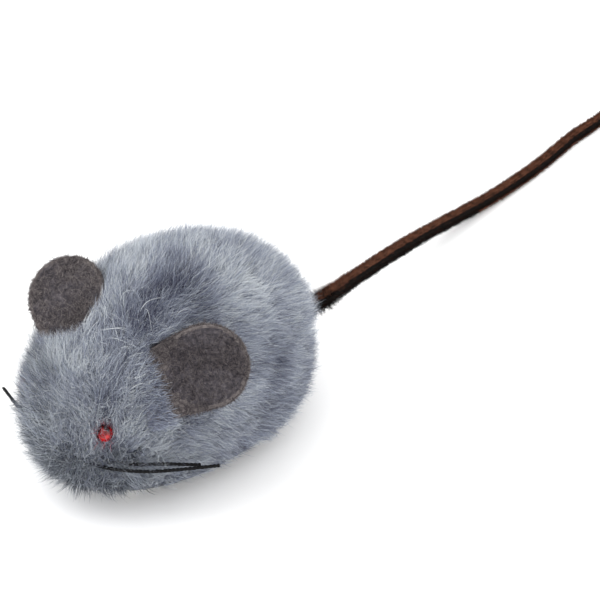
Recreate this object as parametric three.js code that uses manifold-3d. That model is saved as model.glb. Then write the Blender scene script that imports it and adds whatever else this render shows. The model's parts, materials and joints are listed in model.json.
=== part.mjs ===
// A clockwork plush mouse. A wind-up motor stands on a base pan, under a plastic shell, inside a fur coat.
// Millimetres, +Z up. The nose points along -Y, the tail along +Y and the mouse's left side along +X.
// The origin is on the floor, under the middle of the body.
import * as THREE from 'three';
import { mergeVertices } from 'three/addons/utils/BufferGeometryUtils.js';
import Module from 'manifold-3d';

// ---- Driving dimensions ----

const GAP = 0.3; // clearance between neighbouring pieces
const NOSE_TAPER = 0.05; // how much slimmer the nose end is than the rump

// Each egg: half width along X, half length along Y, half height along Z, and the height of its centre.
const COAT = { halfWidth: 24.5, halfLength: 40, halfHeight: 31.5, centreZ: 20 };
const SHELL = { halfWidth: 18.5, halfLength: 31.5, halfHeight: 24, centreZ: 12 };
const COAT_RIM_Z = 3.5;
const SHELL_RIM_Z = 4.5;
const SHELL_WALL = 1.2;

const PAN = { bottom: 2, top: 4.2, inset: 0.5 };

const MODULE = 0.6;
const GREAT_TEETH = 32;
const SECOND_PINION_TEETH = 9;
const SECOND_WHEEL_TEETH = 30;
const AXLE_PINION_TEETH = 10;

// Shaft centres as (Y, Z). The second arbor is where both pairs of gears are in mesh.
const WINDING_SHAFT = new THREE.Vector2(2, 20);
const DRIVE_SHAFT = new THREE.Vector2(12, 8);
const FRONT_SHAFT = new THREE.Vector2(-18, 5.5);

const WINDING_ARBOR_RADIUS = 1.4;
const ARBOR_RADIUS = 0.8;
const AXLE_RADIUS = 0.9;
const BORE_CLEARANCE = 0.2;

const PLATE_INNER_X = 7.2;
const PLATE_THICKNESS = 0.8;
const PILLAR_RADIUS = 0.9;
const PILLARS = [[-7.5, 26.5], [-7.5, 7], [23, 11], [9, 29.3]]; // (Y, Z)
const PLATE_OUTLINE = [ // (Y, Z)
  [-9.5, 4.7], [19, 4.7], [26, 9], [26, 13], [20, 24], [10.3, 30.4], [2, 31], [-9.5, 28.5],
];

const GREAT_WHEEL_X = 0; // the side nearer the key, on each toothed piece
const RATCHET_X = 1.5;
const SECOND_WHEEL_X = 3.6;
const GEAR_THICKNESS = 1.2;
const PINION_LENGTH = 1.8;
const RATCHET = { tip: 4.2, root: 3.3, teeth: 12, thickness: 0.9 };

const CLICK = { pivot: 7, bore: 0.45, thickness: 0.7 };
const RIVET = { shank: 0.3, head: 0.8, headHeight: 0.4, wheelBore: 0.7 };

const SPRING = { inner: 1.9, outer: 8.5, turns: 5, strip: 0.45, nearX: -6.6, width: 6, stepsPerTurn: 16 };
// The spring's last stretch opens out towards the pillar that it hooks on.
const SPRING_FLARE = { from: 0.94, by: 1.5 };

const DRIVE_WHEEL = { radius: 8, rim: 6.2, nearX: 9, width: 3.5 };
const FRONT_WHEEL = { radius: 5.5, nearX: 5.5, width: 3 };
const AXLE_POST = { nearX: 9.1, width: 1.2, depth: 4.4, height: 3.8 };

const KEY = {
  hubRadius: 2.4, hubNearX: -18.6, hubTip: 3, socketDepth: 4,
  lobeRadius: 3.7, lobeOffset: 3.9, lobeHole: 1.6, waist: 0.55, thickness: 1.6,
};
const KEY_TIP_X = -31.6;
const KEY_WELL_RADIUS = 8.4;

const SCREWS = [[13, -8], [-13, -8], [0, 26.9]]; // (X, Y)
const SCREW = { shank: 0.8, head: 1.8, headHeight: 0.8, length: 7, slotReach: 1.1, slotHalfWidth: 0.25 };
const SCREW_HEAD_TOP = PAN.bottom + SCREW.headHeight + 0.1; // each head lies in a recess in the pan
const BOSS = { radius: 2.2, sideTop: 26, rearTop: 14 };

const EAR = { visible: 20, radius: 9.4, root: 6.4, thickness: 1.2 };
// Where each ear's root leaves the coat, which way it grows and faces, and how much of it is buried.
const EARS = {
  ear_left: {
    base: [18.2, -19.7, 33.1], along: [0.507, 0.727, 0.462], facing: [0.525, -0.686, 0.503], buried: 4.5,
  },
  ear_right: {
    base: [-3.5, -26.9, 37.3], along: [-0.567, 0.462, 0.682], facing: [0.251, -0.692, 0.677], buried: 2,
  },
};

const EYE = new THREE.Vector3(12.9, -31.9, 25.5);
const EYE_RADIUS = 2;
const EYE_PIN = { radius: 0.5, length: 6 };

const WHISKER_RADIUS = 0.42;
// One thread each, from the tip on the mouse's left, through the muzzle, to the tip on its right.
const WHISKERS = {
  whisker_thread_lower: [
    [28.6, -13.3, 15.3], [24.5, -19.5, 15.4], [19.6, -26.9, 16], [14.5, -33, 17.4], [7, -34.6, 16.5],
    [-0.5, -35, 15.9], [-7.5, -34.7, 16.2], [-14.2, -33.1, 16.1], [-20.6, -31.1, 14.9], [-28.1, -28.8, 14],
  ],
  whisker_thread_upper: [
    [25.3, -15.9, 15], [21.1, -22.1, 16.3], [16.8, -28.6, 17.5], [9.7, -33.3, 18.5],
    [0.8, -35, 18.5], [-8.4, -33.9, 18], [-16.2, -30.3, 17.2], [-23, -25, 16.4], [-27.6, -20.5, 15.4],
  ],
};

// A suede lace that leaves the rump, sinks to the floor and curves to the mouse's right.
const TAIL = { width: 3.4, thickness: 2.4, corner: 0.5, steps: 62 };
const TAIL_ROUTE = [
  [0, 24.6, 17.6], [0, 33, 17.7], [0.3, 39, 17.5], [0.4, 44.6, 17], [-1.8, 52.8, 15.5], [-4.3, 60.9, 13.8],
  [-6.7, 69.1, 12], [-9.1, 77.3, 10.3], [-11.3, 85.6, 8.6], [-13.2, 94, 7.1], [-14.8, 102.4, 5.6],
  [-16.2, 110.9, 4.2], [-17.3, 119.5, 3.1], [-18.3, 128.1, 2.3], [-19.3, 136.8, 1.8], [-20.4, 145.4, 1.5],
  [-21.7, 154.1, 1.3], [-23.3, 162.7, 1.3], [-24.9, 171.3, 1.3], [-25.7, 180, 1.3], [-26.4, 188.7, 1.3],
];
const TAIL_CLIP = { halfWidth: 3, halfHeight: 2.5, nearY: 24.8, farY: 26.6 };

// ---- Materials ----

function paint(color, roughness, metalness = 0) {
  return new THREE.MeshStandardMaterial({ color, roughness, metalness });
}

const FUR = () => paint(0x7b828f, 0.95);
const FELT = () => paint(0x5a5455, 0.95);
const SUEDE = () => paint(0x4a3026, 0.9);
const THREAD = () => paint(0x121214, 0.7);
const RED_BEAD = () => paint(0xc01020, 0.15);
const DARK_PLASTIC = () => paint(0x2c2e32, 0.5);
const GREY_PLASTIC = () => paint(0x8c8f94, 0.45);
const WHITE_PLASTIC = () => paint(0xe6e2d8, 0.4);
const RUBBER = () => paint(0x1b1b1c, 0.85);
const STEEL = () => paint(0xa9abae, 0.3, 0.9);
const SPRING_STEEL = () => paint(0x52565f, 0.35, 0.9);
const BRASS = () => paint(0xc09a4a, 0.35, 0.9);

// ---- Solids: joins and cuts ----

const wasm = await Module();
wasm.setup();

// A closed solid from a three.js geometry, with its shared vertices merged and empty triangles left out.
function solidOf(geometry) {
  const bare = geometry.index ? geometry.toNonIndexed() : geometry.clone();
  bare.deleteAttribute('normal');
  bare.deleteAttribute('uv');
  const merged = mergeVertices(bare, 1e-4);
  const corners = merged.index.array;
  const triangles = [];
  for (let i = 0; i < corners.length; i += 3) {
    const [a, b, c] = [corners[i], corners[i + 1], corners[i + 2]];
    if (a !== b && b !== c && c !== a) triangles.push(a, b, c);
  }
  const mesh = new wasm.Mesh({
    numProp: 3,
    vertProperties: new Float32Array(merged.attributes.position.array),
    triVerts: new Uint32Array(triangles),
  });
  return new wasm.Manifold(mesh);
}

function geometryOf(solid) {
  const { vertProperties, triVerts, numProp } = solid.getMesh();
  const positions = new Float32Array(triVerts.length * 3);
  triVerts.forEach((vertex, i) => {
    for (let axis = 0; axis < 3; axis += 1) positions[i * 3 + axis] = vertProperties[vertex * numProp + axis];
  });
  const geometry = new THREE.BufferGeometry();
  geometry.setAttribute('position', new THREE.BufferAttribute(positions, 3));
  geometry.computeVertexNormals();
  return geometry;
}

const join = (first, ...others) => others.reduce((whole, other) => whole.add(other), first);
const cut = (first, ...others) => others.reduce((whole, other) => whole.subtract(other), first);

function boxSolid([lowX, lowY, lowZ], [highX, highY, highZ]) {
  const box = new THREE.BoxGeometry(highX - lowX, highY - lowY, highZ - lowZ);
  return solidOf(box.translate((lowX + highX) / 2, (lowY + highY) / 2, (lowZ + highZ) / 2));
}

function rodAlongX(radius, nearX, farX, [y, z], sides = 24) {
  const rod = new THREE.CylinderGeometry(radius, radius, farX - nearX, sides).rotateZ(Math.PI / 2);
  return rod.translate((nearX + farX) / 2, y, z);
}

function rodAlongZ(radius, lowZ, highZ, [x, y], sides = 16) {
  const rod = new THREE.CylinderGeometry(radius, radius, highZ - lowZ, sides).rotateX(Math.PI / 2);
  return rod.translate(x, y, (lowZ + highZ) / 2);
}

// An egg with its long axis along Y, slimmer towards the nose, and grown outwards by grow.
function eggSolid(egg, grow, sides, rings) {
  const profile = [];
  for (let ring = 0; ring <= rings; ring += 1) {
    const turn = (Math.PI * ring) / rings;
    const along = -Math.cos(turn);
    const taper = 1 + NOSE_TAPER * along;
    profile.push(new THREE.Vector2(ring % rings === 0 ? 0 : Math.sin(turn) * taper, along));
  }
  const shape = new THREE.LatheGeometry(profile, sides);
  shape.scale(egg.halfWidth + grow, egg.halfLength + grow, egg.halfHeight + grow);
  return solidOf(shape.translate(0, 0, egg.centreZ));
}

const above = (z) => boxSolid([-60, -60, z], [60, 60, 80]);

// A flat piece cut from a (Y, Z) outline, lying across the shafts with its near side at X = 0.
function extrudeAcross(shape, thickness, curveSegments = 8) {
  const geometry = new THREE.ExtrudeGeometry(shape, { depth: thickness, bevelEnabled: false, curveSegments });
  const turn = new THREE.Matrix4().makeBasis(
    new THREE.Vector3(0, 1, 0), new THREE.Vector3(0, 0, 1), new THREE.Vector3(1, 0, 0),
  );
  return geometry.applyMatrix4(turn);
}

function withHole(shape, radius, y = 0, z = 0) {
  const hole = new THREE.Path();
  hole.absarc(y, z, radius, 0, Math.PI * 2, true);
  shape.holes.push(hole);
  return shape;
}

function discShape(radius) {
  const disc = new THREE.Shape();
  disc.absarc(0, 0, radius, 0, Math.PI * 2, false);
  return disc;
}

// ---- Gears ----

const pitchRadius = (teeth) => (teeth * MODULE) / 2;

function gearShape(teeth) {
  const pitch = (Math.PI * 2) / teeth;
  const root = pitchRadius(teeth) - 1.15 * MODULE;
  const tip = pitchRadius(teeth) + 0.85 * MODULE;
  const corners = [[-0.25, root], [-0.12, tip], [0.12, tip], [0.25, root]];
  const points = [];
  for (let tooth = 0; tooth < teeth; tooth += 1) {
    for (const [offset, radius] of corners) {
      const angle = (tooth + offset) * pitch;
      points.push(new THREE.Vector2(radius * Math.cos(angle), radius * Math.sin(angle)));
    }
  }
  return new THREE.Shape(points);
}

function ratchetShape() {
  const points = [];
  for (let tooth = 0; tooth < RATCHET.teeth; tooth += 1) {
    const angle = (tooth * Math.PI * 2) / RATCHET.teeth;
    const next = angle + (Math.PI * 2 * 0.96) / RATCHET.teeth;
    points.push(new THREE.Vector2(RATCHET.tip * Math.cos(angle), RATCHET.tip * Math.sin(angle)));
    points.push(new THREE.Vector2(RATCHET.root * Math.cos(next), RATCHET.root * Math.sin(next)));
  }
  return new THREE.Shape(points);
}

// The second arbor stands where circles round the winding and drive shafts cross, on the rump's side.
function secondShaft() {
  const fromWinding = pitchRadius(GREAT_TEETH) + pitchRadius(SECOND_PINION_TEETH);
  const fromDrive = pitchRadius(SECOND_WHEEL_TEETH) + pitchRadius(AXLE_PINION_TEETH);
  const line = DRIVE_SHAFT.clone().sub(WINDING_SHAFT);
  const apart = line.length();
  line.normalize();
  const along = (fromWinding ** 2 - fromDrive ** 2 + apart ** 2) / (2 * apart);
  const across = Math.sqrt(fromWinding ** 2 - along ** 2);
  return new THREE.Vector2(
    WINDING_SHAFT.x + line.x * along - line.y * across,
    WINDING_SHAFT.y + line.y * along + line.x * across,
  );
}
const SECOND_SHAFT = secondShaft();

const bearing = (from, to) => Math.atan2(to.y - from.y, to.x - from.x);

// ---- The assembly ----

const mouse = new THREE.Group();

function place(name, geometry, material, parent = mouse) {
  const mesh = new THREE.Mesh(geometry, material);
  mesh.name = name;
  parent.add(mesh);
  return mesh;
}

function shaftGroup(centre) {
  const group = new THREE.Group();
  group.position.set(0, centre.x, centre.y);
  mouse.add(group);
  return group;
}

// ---- Base pan, axle posts, shell and screws ----

// How far each way a wheel reaches along Y at the height of the pan, with clearance.
function slotHalfLength(wheelRadius, shaftZ) {
  return Math.sqrt(wheelRadius ** 2 - (shaftZ - PAN.top) ** 2) + 2 * GAP;
}

// The room that a wheel needs in the pan, on one side.
function wheelSlot(wheel, shaft, side) {
  const halfLength = slotHalfLength(wheel.radius, shaft.y);
  const edges = [side * (wheel.nearX - GAP), side * (wheel.nearX + wheel.width + GAP)];
  return boxSolid(
    [Math.min(...edges), shaft.x - halfLength, PAN.bottom - 1],
    [Math.max(...edges), shaft.x + halfLength, PAN.top + 1],
  );
}

function addBasePan() {
  // The pan has the shell's own outline at its height, a little smaller, so that it drops into the coat.
  const plate = eggSolid(SHELL, -PAN.inset, 36, 20).intersect(above(PAN.bottom)).subtract(above(PAN.top));
  const [postY, postZ] = FRONT_SHAFT.toArray();
  const posts = [AXLE_POST.nearX, -AXLE_POST.nearX - AXLE_POST.width].map((nearX) => boxSolid(
    [nearX, postY - AXLE_POST.depth / 2, PAN.top - 0.5],
    [nearX + AXLE_POST.width, postY + AXLE_POST.depth / 2, PAN.top + AXLE_POST.height],
  ));
  const slots = [1, -1].flatMap((side) => [
    wheelSlot(DRIVE_WHEEL, DRIVE_SHAFT, side), wheelSlot(FRONT_WHEEL, FRONT_SHAFT, side),
  ]);
  const screwHoles = SCREWS.flatMap((at) => [
    solidOf(rodAlongZ(SCREW.shank + GAP, PAN.bottom - 1, PAN.top + 1, at, 12)),
    solidOf(rodAlongZ(SCREW.head + GAP, PAN.bottom - 1, SCREW_HEAD_TOP + GAP, at)),
  ]);
  const reach = AXLE_POST.nearX + AXLE_POST.width + 1;
  const axleBore = solidOf(rodAlongX(AXLE_RADIUS + BORE_CLEARANCE, -reach, reach, [postY, postZ], 16));
  const pan = cut(join(plate, ...posts), ...slots, ...screwHoles, axleBore);
  place('base_pan', geometryOf(pan), DARK_PLASTIC());
}

function shellBosses() {
  const bosses = SCREWS.map(([x, y]) => {
    const top = x === 0 ? BOSS.rearTop : BOSS.sideTop;
    return solidOf(rodAlongZ(BOSS.radius, SHELL_RIM_Z, top, [x, y]));
  });
  return join(...bosses);
}

function addTopShell() {
  const outer = eggSolid(SHELL, 0, 28, 14);
  const inner = eggSolid(SHELL, -SHELL_WALL, 28, 14);
  const bosses = shellBosses().intersect(outer);
  const dome = join(cut(outer, inner), bosses).intersect(above(SHELL_RIM_Z));
  const screwHoles = SCREWS.map((at) => (
    solidOf(rodAlongZ(SCREW.shank + GAP, 0, SCREW_HEAD_TOP + SCREW.length + 1, at, 12))
  ));
  const keyHole = solidOf(rodAlongX(KEY.hubRadius + 2 * GAP, -30, -10, WINDING_SHAFT.toArray()));
  const archRadius = DRIVE_WHEEL.radius + 2 * GAP;
  const archReach = DRIVE_WHEEL.nearX + DRIVE_WHEEL.width + 2 * GAP;
  const arches = solidOf(rodAlongX(archRadius, -archReach, archReach, DRIVE_SHAFT.toArray()));
  const betweenWheels = DRIVE_WHEEL.nearX - GAP - 0.2;
  const wheelArches = cut(arches, boxSolid([-betweenWheels, -60, -60], [betweenWheels, 60, 60]));
  const shell = cut(dome, ...screwHoles, keyHole, wheelArches, tailSolid(2 * GAP));
  place('top_shell', geometryOf(shell), GREY_PLASTIC());
}

function addScrews() {
  SCREWS.forEach((at, index) => {
    const headLow = SCREW_HEAD_TOP - SCREW.headHeight;
    const head = solidOf(rodAlongZ(SCREW.head, headLow, SCREW_HEAD_TOP, at));
    const shankTop = SCREW_HEAD_TOP + SCREW.length;
    const shank = solidOf(rodAlongZ(SCREW.shank, SCREW_HEAD_TOP - 0.2, shankTop, at, 12));
    const slots = [[SCREW.slotReach, SCREW.slotHalfWidth], [SCREW.slotHalfWidth, SCREW.slotReach]];
    const cross = slots.map(([reachX, reachY]) => boxSolid(
      [at[0] - reachX, at[1] - reachY, headLow - 1],
      [at[0] + reachX, at[1] + reachY, headLow + SCREW.headHeight / 2],
    ));
    const screw = cut(join(head, shank), ...cross);
    place(`shell_screw_${index + 1}`, geometryOf(screw), STEEL());
  });
}

// ---- Soft outside: tail, whisker threads, ears, eyes and the fur coat ----

function pathThrough(points) {
  return new THREE.CatmullRomCurve3(points.map((point) => new THREE.Vector3(...point)));
}

// The lace's section with its corners taken off, extruded along the route.
function tailGeometry(grow, route, steps) {
  const [halfWide, halfThick] = [TAIL.width / 2 + grow, TAIL.thickness / 2 + grow];
  const corner = TAIL.corner;
  const section = new THREE.Shape([
    new THREE.Vector2(halfWide, halfThick - corner),
    new THREE.Vector2(halfWide - corner, halfThick),
    new THREE.Vector2(corner - halfWide, halfThick),
    new THREE.Vector2(-halfWide, halfThick - corner),
    new THREE.Vector2(-halfWide, corner - halfThick),
    new THREE.Vector2(corner - halfWide, -halfThick),
    new THREE.Vector2(halfWide - corner, -halfThick),
    new THREE.Vector2(halfWide, corner - halfThick),
  ]);
  return new THREE.ExtrudeGeometry(section, { steps, extrudePath: pathThrough(route) });
}

// The space that the tail takes up inside the body.
function tailSolid(grow) {
  const rootRoute = [[0, 20, TAIL_ROUTE[0][2] - 0.1], ...TAIL_ROUTE.slice(0, 5)];
  return solidOf(tailGeometry(grow, rootRoute, 14));
}

function whiskerGeometry(points, grow, steps) {
  const section = new THREE.Shape();
  section.absarc(0, 0, WHISKER_RADIUS + grow, 0, Math.PI * 2, false);
  return new THREE.ExtrudeGeometry(section, { steps, curveSegments: 3, extrudePath: pathThrough(points) });
}

// A felt teardrop that narrows to its root. A grown ear is the room that it needs in the coat.
function earGeometry(ear, grow) {
  const centre = EAR.visible - EAR.radius;
  const lean = Math.asin((EAR.radius - EAR.root) / (centre + ear.buried));
  const outline = new THREE.Shape();
  outline.moveTo(-ear.buried - grow, EAR.root + grow);
  outline.lineTo(-ear.buried - grow, -EAR.root - grow);
  outline.absarc(centre, 0, EAR.radius + grow, -Math.PI / 2 - lean, Math.PI / 2 + lean, false);
  outline.closePath();
  const thickness = EAR.thickness + 2 * grow;
  const slab = { depth: thickness, bevelEnabled: false, curveSegments: 16 };
  const felt = new THREE.ExtrudeGeometry(outline, slab).translate(0, 0, -thickness / 2);
  const along = new THREE.Vector3(...ear.along).normalize();
  const facing = new THREE.Vector3(...ear.facing);
  facing.addScaledVector(along, -facing.dot(along)).normalize();
  const across = new THREE.Vector3().crossVectors(facing, along);
  const stand = new THREE.Matrix4().makeBasis(along, across, facing).setPosition(...ear.base);
  return felt.applyMatrix4(stand);
}

function addEars() {
  for (const [name, ear] of Object.entries(EARS)) place(name, earGeometry(ear, 0), FELT());
}

// A rod from the bead's middle towards the middle of the head.
function eyePinGeometry(side, grow) {
  const [radius, length] = [EYE_PIN.radius + grow, EYE_PIN.length + grow];
  const inwards = new THREE.Vector3(-0.5 * side, 0.84, -0.2).normalize();
  const rod = new THREE.CylinderGeometry(radius, radius, length, 10).translate(0, length / 2, 0);
  rod.applyQuaternion(new THREE.Quaternion().setFromUnitVectors(new THREE.Vector3(0, 1, 0), inwards));
  return rod.translate(EYE.x * side, EYE.y, EYE.z);
}

function addEyes() {
  for (const [word, side] of [['left', 1], ['right', -1]]) {
    const bead = new THREE.IcosahedronGeometry(EYE_RADIUS, 1).translate(EYE.x * side, EYE.y, EYE.z);
    const drilled = solidOf(bead).subtract(solidOf(eyePinGeometry(side, GAP)));
    place(`eye_bead_${word}`, geometryOf(drilled), RED_BEAD());
    place(`eye_pin_${word}`, eyePinGeometry(side, 0), STEEL());
  }
}

function addWhiskers() {
  for (const [name, points] of Object.entries(WHISKERS)) {
    place(name, whiskerGeometry(points, 0, 34), THREAD());
  }
}

function addTail() {
  place('tail', tailGeometry(0, TAIL_ROUTE, TAIL.steps), SUEDE());
  const centreZ = TAIL_ROUTE[0][2];
  const block = boxSolid(
    [-TAIL_CLIP.halfWidth, TAIL_CLIP.nearY, centreZ - TAIL_CLIP.halfHeight],
    [TAIL_CLIP.halfWidth, TAIL_CLIP.farY, centreZ + TAIL_CLIP.halfHeight],
  );
  place('tail_clip', geometryOf(cut(block, tailSolid(GAP))), DARK_PLASTIC());
}

function addFurCoat() {
  const outer = eggSolid(COAT, 0, 36, 18).intersect(above(COAT_RIM_Z));
  const lining = eggSolid(SHELL, 2 * GAP, 28, 14);
  const beadRoom = EYE_RADIUS + GAP;
  const eyes = [1, -1].flatMap((side) => [
    solidOf(new THREE.IcosahedronGeometry(beadRoom, 1).translate(EYE.x * side, EYE.y, EYE.z)),
    solidOf(eyePinGeometry(side, GAP)),
  ]);
  const ears = Object.values(EARS).map((ear) => solidOf(earGeometry(ear, GAP)));
  const threads = Object.values(WHISKERS).map((points) => solidOf(whiskerGeometry(points, GAP, 34)));
  const keyWell = solidOf(rodAlongX(KEY_WELL_RADIUS, -40, -10, WINDING_SHAFT.toArray(), 32));
  const coat = cut(outer, lining, ...eyes, ...ears, ...threads, keyWell, tailSolid(GAP));
  place('fur_coat', geometryOf(coat), FUR());
}

// ---- Motor frame ----

function addMotorFrame() {
  const bores = [
    [WINDING_SHAFT, WINDING_ARBOR_RADIUS], [SECOND_SHAFT, ARBOR_RADIUS], [DRIVE_SHAFT, AXLE_RADIUS],
  ];
  for (const [word, nearX] of [['left', PLATE_INNER_X], ['right', -PLATE_INNER_X - PLATE_THICKNESS]]) {
    const outline = new THREE.Shape(PLATE_OUTLINE.map((point) => new THREE.Vector2(...point)));
    bores.forEach(([centre, radius]) => withHole(outline, radius + BORE_CLEARANCE, centre.x, centre.y));
    const plate = place(`motor_plate_${word}`, extrudeAcross(outline, PLATE_THICKNESS), STEEL());
    plate.position.x = nearX;
  }
  PILLARS.forEach((centre, index) => {
    const reach = PLATE_INNER_X - GAP;
    place(`motor_pillar_${index + 1}`, rodAlongX(PILLAR_RADIUS, -reach, reach, centre, 12), STEEL());
  });
}

// ---- Winding shaft: arbor, mainspring, ratchet wheel and key ----

function springShape() {
  const points = [[], []];
  const steps = SPRING.turns * SPRING.stepsPerTurn;
  const pillar = new THREE.Vector2(...PILLARS[0]);
  const endAngle = bearing(WINDING_SHAFT, pillar);
  for (let step = 0; step <= steps; step += 1) {
    const share = step / steps;
    const flare = SPRING_FLARE.by * Math.max(0, (share - SPRING_FLARE.from) / (1 - SPRING_FLARE.from));
    const radius = SPRING.inner + (SPRING.outer - SPRING.inner) * share + flare;
    const angle = endAngle - (1 - share) * SPRING.turns * Math.PI * 2;
    points[0].push(new THREE.Vector2(radius * Math.cos(angle), radius * Math.sin(angle)));
    const inner = radius - SPRING.strip;
    points[1].unshift(new THREE.Vector2(inner * Math.cos(angle), inner * Math.sin(angle)));
  }
  return new THREE.Shape(points.flat().reverse());
}

function keyGeometry() {
  const bow = new THREE.Shape();
  const [outer, middle] = [KEY.lobeRadius, KEY.lobeOffset];
  bow.absarc(0, middle, outer, -Math.PI / 2 + KEY.waist, Math.PI * 1.5 - KEY.waist, false);
  bow.absarc(0, -middle, outer, Math.PI / 2 + KEY.waist, Math.PI * 2.5 - KEY.waist, false);
  bow.closePath();
  withHole(bow, KEY.lobeHole, 0, middle);
  withHole(bow, KEY.lobeHole, 0, -middle);
  const slab = { depth: KEY.thickness, bevelEnabled: false, curveSegments: 12 };
  const flat = new THREE.ExtrudeGeometry(bow, slab).translate(0, 0, -KEY.thickness / 2);
  return flat.rotateX(Math.PI).translate(KEY_TIP_X + outer, 0, 0);
}

function addWindingShaft() {
  const shaft = shaftGroup(WINDING_SHAFT);
  const arborEnd = KEY.hubNearX - KEY.socketDepth;
  const arbor = rodAlongX(WINDING_ARBOR_RADIUS, arborEnd, PLATE_INNER_X + PLATE_THICKNESS + 0.5, [0, 0], 20);
  place('winding_arbor', arbor, STEEL(), shaft);

  const spring = place('mainspring', extrudeAcross(springShape(), SPRING.width), SPRING_STEEL(), shaft);
  spring.position.x = SPRING.nearX;

  const ratchetOutline = withHole(ratchetShape(), WINDING_ARBOR_RADIUS + BORE_CLEARANCE);
  const ratchet = place('ratchet_wheel', extrudeAcross(ratchetOutline, RATCHET.thickness), STEEL(), shaft);
  ratchet.position.x = RATCHET_X;

  const hub = solidOf(rodAlongX(KEY.hubRadius, KEY_TIP_X + KEY.hubTip, KEY.hubNearX, [0, 0], 20));
  const socketRadius = WINDING_ARBOR_RADIUS + GAP;
  const socket = solidOf(rodAlongX(socketRadius, arborEnd - GAP, KEY.hubNearX + 1, [0, 0], 16));
  const key = cut(join(solidOf(keyGeometry()), hub), socket);
  place('winding_key', geometryOf(key), BRASS(), shaft);
}

// ---- Great wheel, with the click that catches the ratchet ----

// A pawl from its rivet to a tooth gap of the ratchet wheel.
function clickShape() {
  return new THREE.Shape([
    new THREE.Vector2(3.7, 3.7), new THREE.Vector2(3.2, 3.3), new THREE.Vector2(6.3, -0.9),
    new THREE.Vector2(7.9, -0.9), new THREE.Vector2(7.9, 0.9),
  ]);
}

function addGreatWheel() {
  const shaft = shaftGroup(WINDING_SHAFT);
  shaft.rotation.x = bearing(WINDING_SHAFT, SECOND_SHAFT);
  const outline = withHole(gearShape(GREAT_TEETH), WINDING_ARBOR_RADIUS + BORE_CLEARANCE);
  withHole(outline, RIVET.wheelBore, CLICK.pivot);
  place('great_wheel', extrudeAcross(outline, GEAR_THICKNESS), BRASS(), shaft);

  const pawl = withHole(clickShape(), CLICK.bore, CLICK.pivot);
  const click = place('click', extrudeAcross(pawl, CLICK.thickness, 5), SPRING_STEEL(), shaft);
  click.position.x = RATCHET_X;

  const pivot = [CLICK.pivot, 0];
  const headNear = RATCHET_X + CLICK.thickness + 0.2;
  const head = solidOf(rodAlongX(RIVET.head, headNear, headNear + RIVET.headHeight, pivot, 12));
  const shank = solidOf(rodAlongX(RIVET.shank, -0.1, headNear + 0.1, pivot, 12));
  place('click_rivet', geometryOf(join(head, shank)), STEEL(), shaft);
}

// ---- Second arbor and drive axle ----

const halfTooth = (teeth) => Math.PI / teeth;

function addSecondShaft() {
  const shaft = shaftGroup(SECOND_SHAFT);
  const reach = PLATE_INNER_X + PLATE_THICKNESS + 0.4;
  place('second_arbor', rodAlongX(ARBOR_RADIUS, -reach, reach, [0, 0], 14), STEEL(), shaft);

  const pinionOutline = withHole(gearShape(SECOND_PINION_TEETH), ARBOR_RADIUS + BORE_CLEARANCE);
  const pinion = place('second_pinion', extrudeAcross(pinionOutline, PINION_LENGTH), STEEL(), shaft);
  pinion.position.x = GREAT_WHEEL_X - GAP;
  pinion.rotation.x = bearing(SECOND_SHAFT, WINDING_SHAFT) + halfTooth(SECOND_PINION_TEETH);

  const wheelOutline = withHole(gearShape(SECOND_WHEEL_TEETH), ARBOR_RADIUS + BORE_CLEARANCE);
  const wheel = place('second_wheel', extrudeAcross(wheelOutline, GEAR_THICKNESS), BRASS(), shaft);
  wheel.position.x = SECOND_WHEEL_X;
  wheel.rotation.x = bearing(SECOND_SHAFT, DRIVE_SHAFT);
}

function addDriveAxle() {
  const shaft = shaftGroup(DRIVE_SHAFT);
  const wheelFar = DRIVE_WHEEL.nearX + DRIVE_WHEEL.width;
  place('drive_axle', rodAlongX(AXLE_RADIUS, -wheelFar, wheelFar, [0, 0], 14), STEEL(), shaft);

  const pinionOutline = withHole(gearShape(AXLE_PINION_TEETH), AXLE_RADIUS + BORE_CLEARANCE);
  const pinion = place('axle_pinion', extrudeAcross(pinionOutline, PINION_LENGTH), BRASS(), shaft);
  pinion.position.x = SECOND_WHEEL_X - GAP;
  pinion.rotation.x = bearing(DRIVE_SHAFT, SECOND_SHAFT) + halfTooth(AXLE_PINION_TEETH);

  for (const [word, nearX] of [['left', DRIVE_WHEEL.nearX], ['right', -wheelFar]]) {
    const hubOutline = withHole(discShape(DRIVE_WHEEL.rim), AXLE_RADIUS + BORE_CLEARANCE);
    const hubDisc = extrudeAcross(hubOutline, DRIVE_WHEEL.width, 14);
    place(`drive_wheel_${word}`, hubDisc, WHITE_PLASTIC(), shaft).position.x = nearX;
    const tyreOutline = withHole(discShape(DRIVE_WHEEL.radius), DRIVE_WHEEL.rim + GAP);
    const tyreRing = extrudeAcross(tyreOutline, DRIVE_WHEEL.width, 16);
    place(`drive_tyre_${word}`, tyreRing, RUBBER(), shaft).position.x = nearX;
  }
}

function addFrontAxle() {
  const shaft = shaftGroup(FRONT_SHAFT);
  const reach = AXLE_POST.nearX + AXLE_POST.width + 0.8;
  place('front_axle', rodAlongX(AXLE_RADIUS, -reach, reach, [0, 0], 14), STEEL(), shaft);
  const wheelFar = FRONT_WHEEL.nearX + FRONT_WHEEL.width;
  for (const [word, nearX] of [['left', FRONT_WHEEL.nearX], ['right', -wheelFar]]) {
    const outline = withHole(discShape(FRONT_WHEEL.radius), AXLE_RADIUS + BORE_CLEARANCE);
    const disc = extrudeAcross(outline, FRONT_WHEEL.width, 14);
    place(`front_wheel_${word}`, disc, WHITE_PLASTIC(), shaft).position.x = nearX;
  }
}

addBasePan();
addTopShell();
addScrews();
addFurCoat();
addEars();
addEyes();
addWhiskers();
addTail();
addMotorFrame();
addWindingShaft();
addGreatWheel();
addSecondShaft();
addDriveAxle();
addFrontAxle();

export default mouse;
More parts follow.
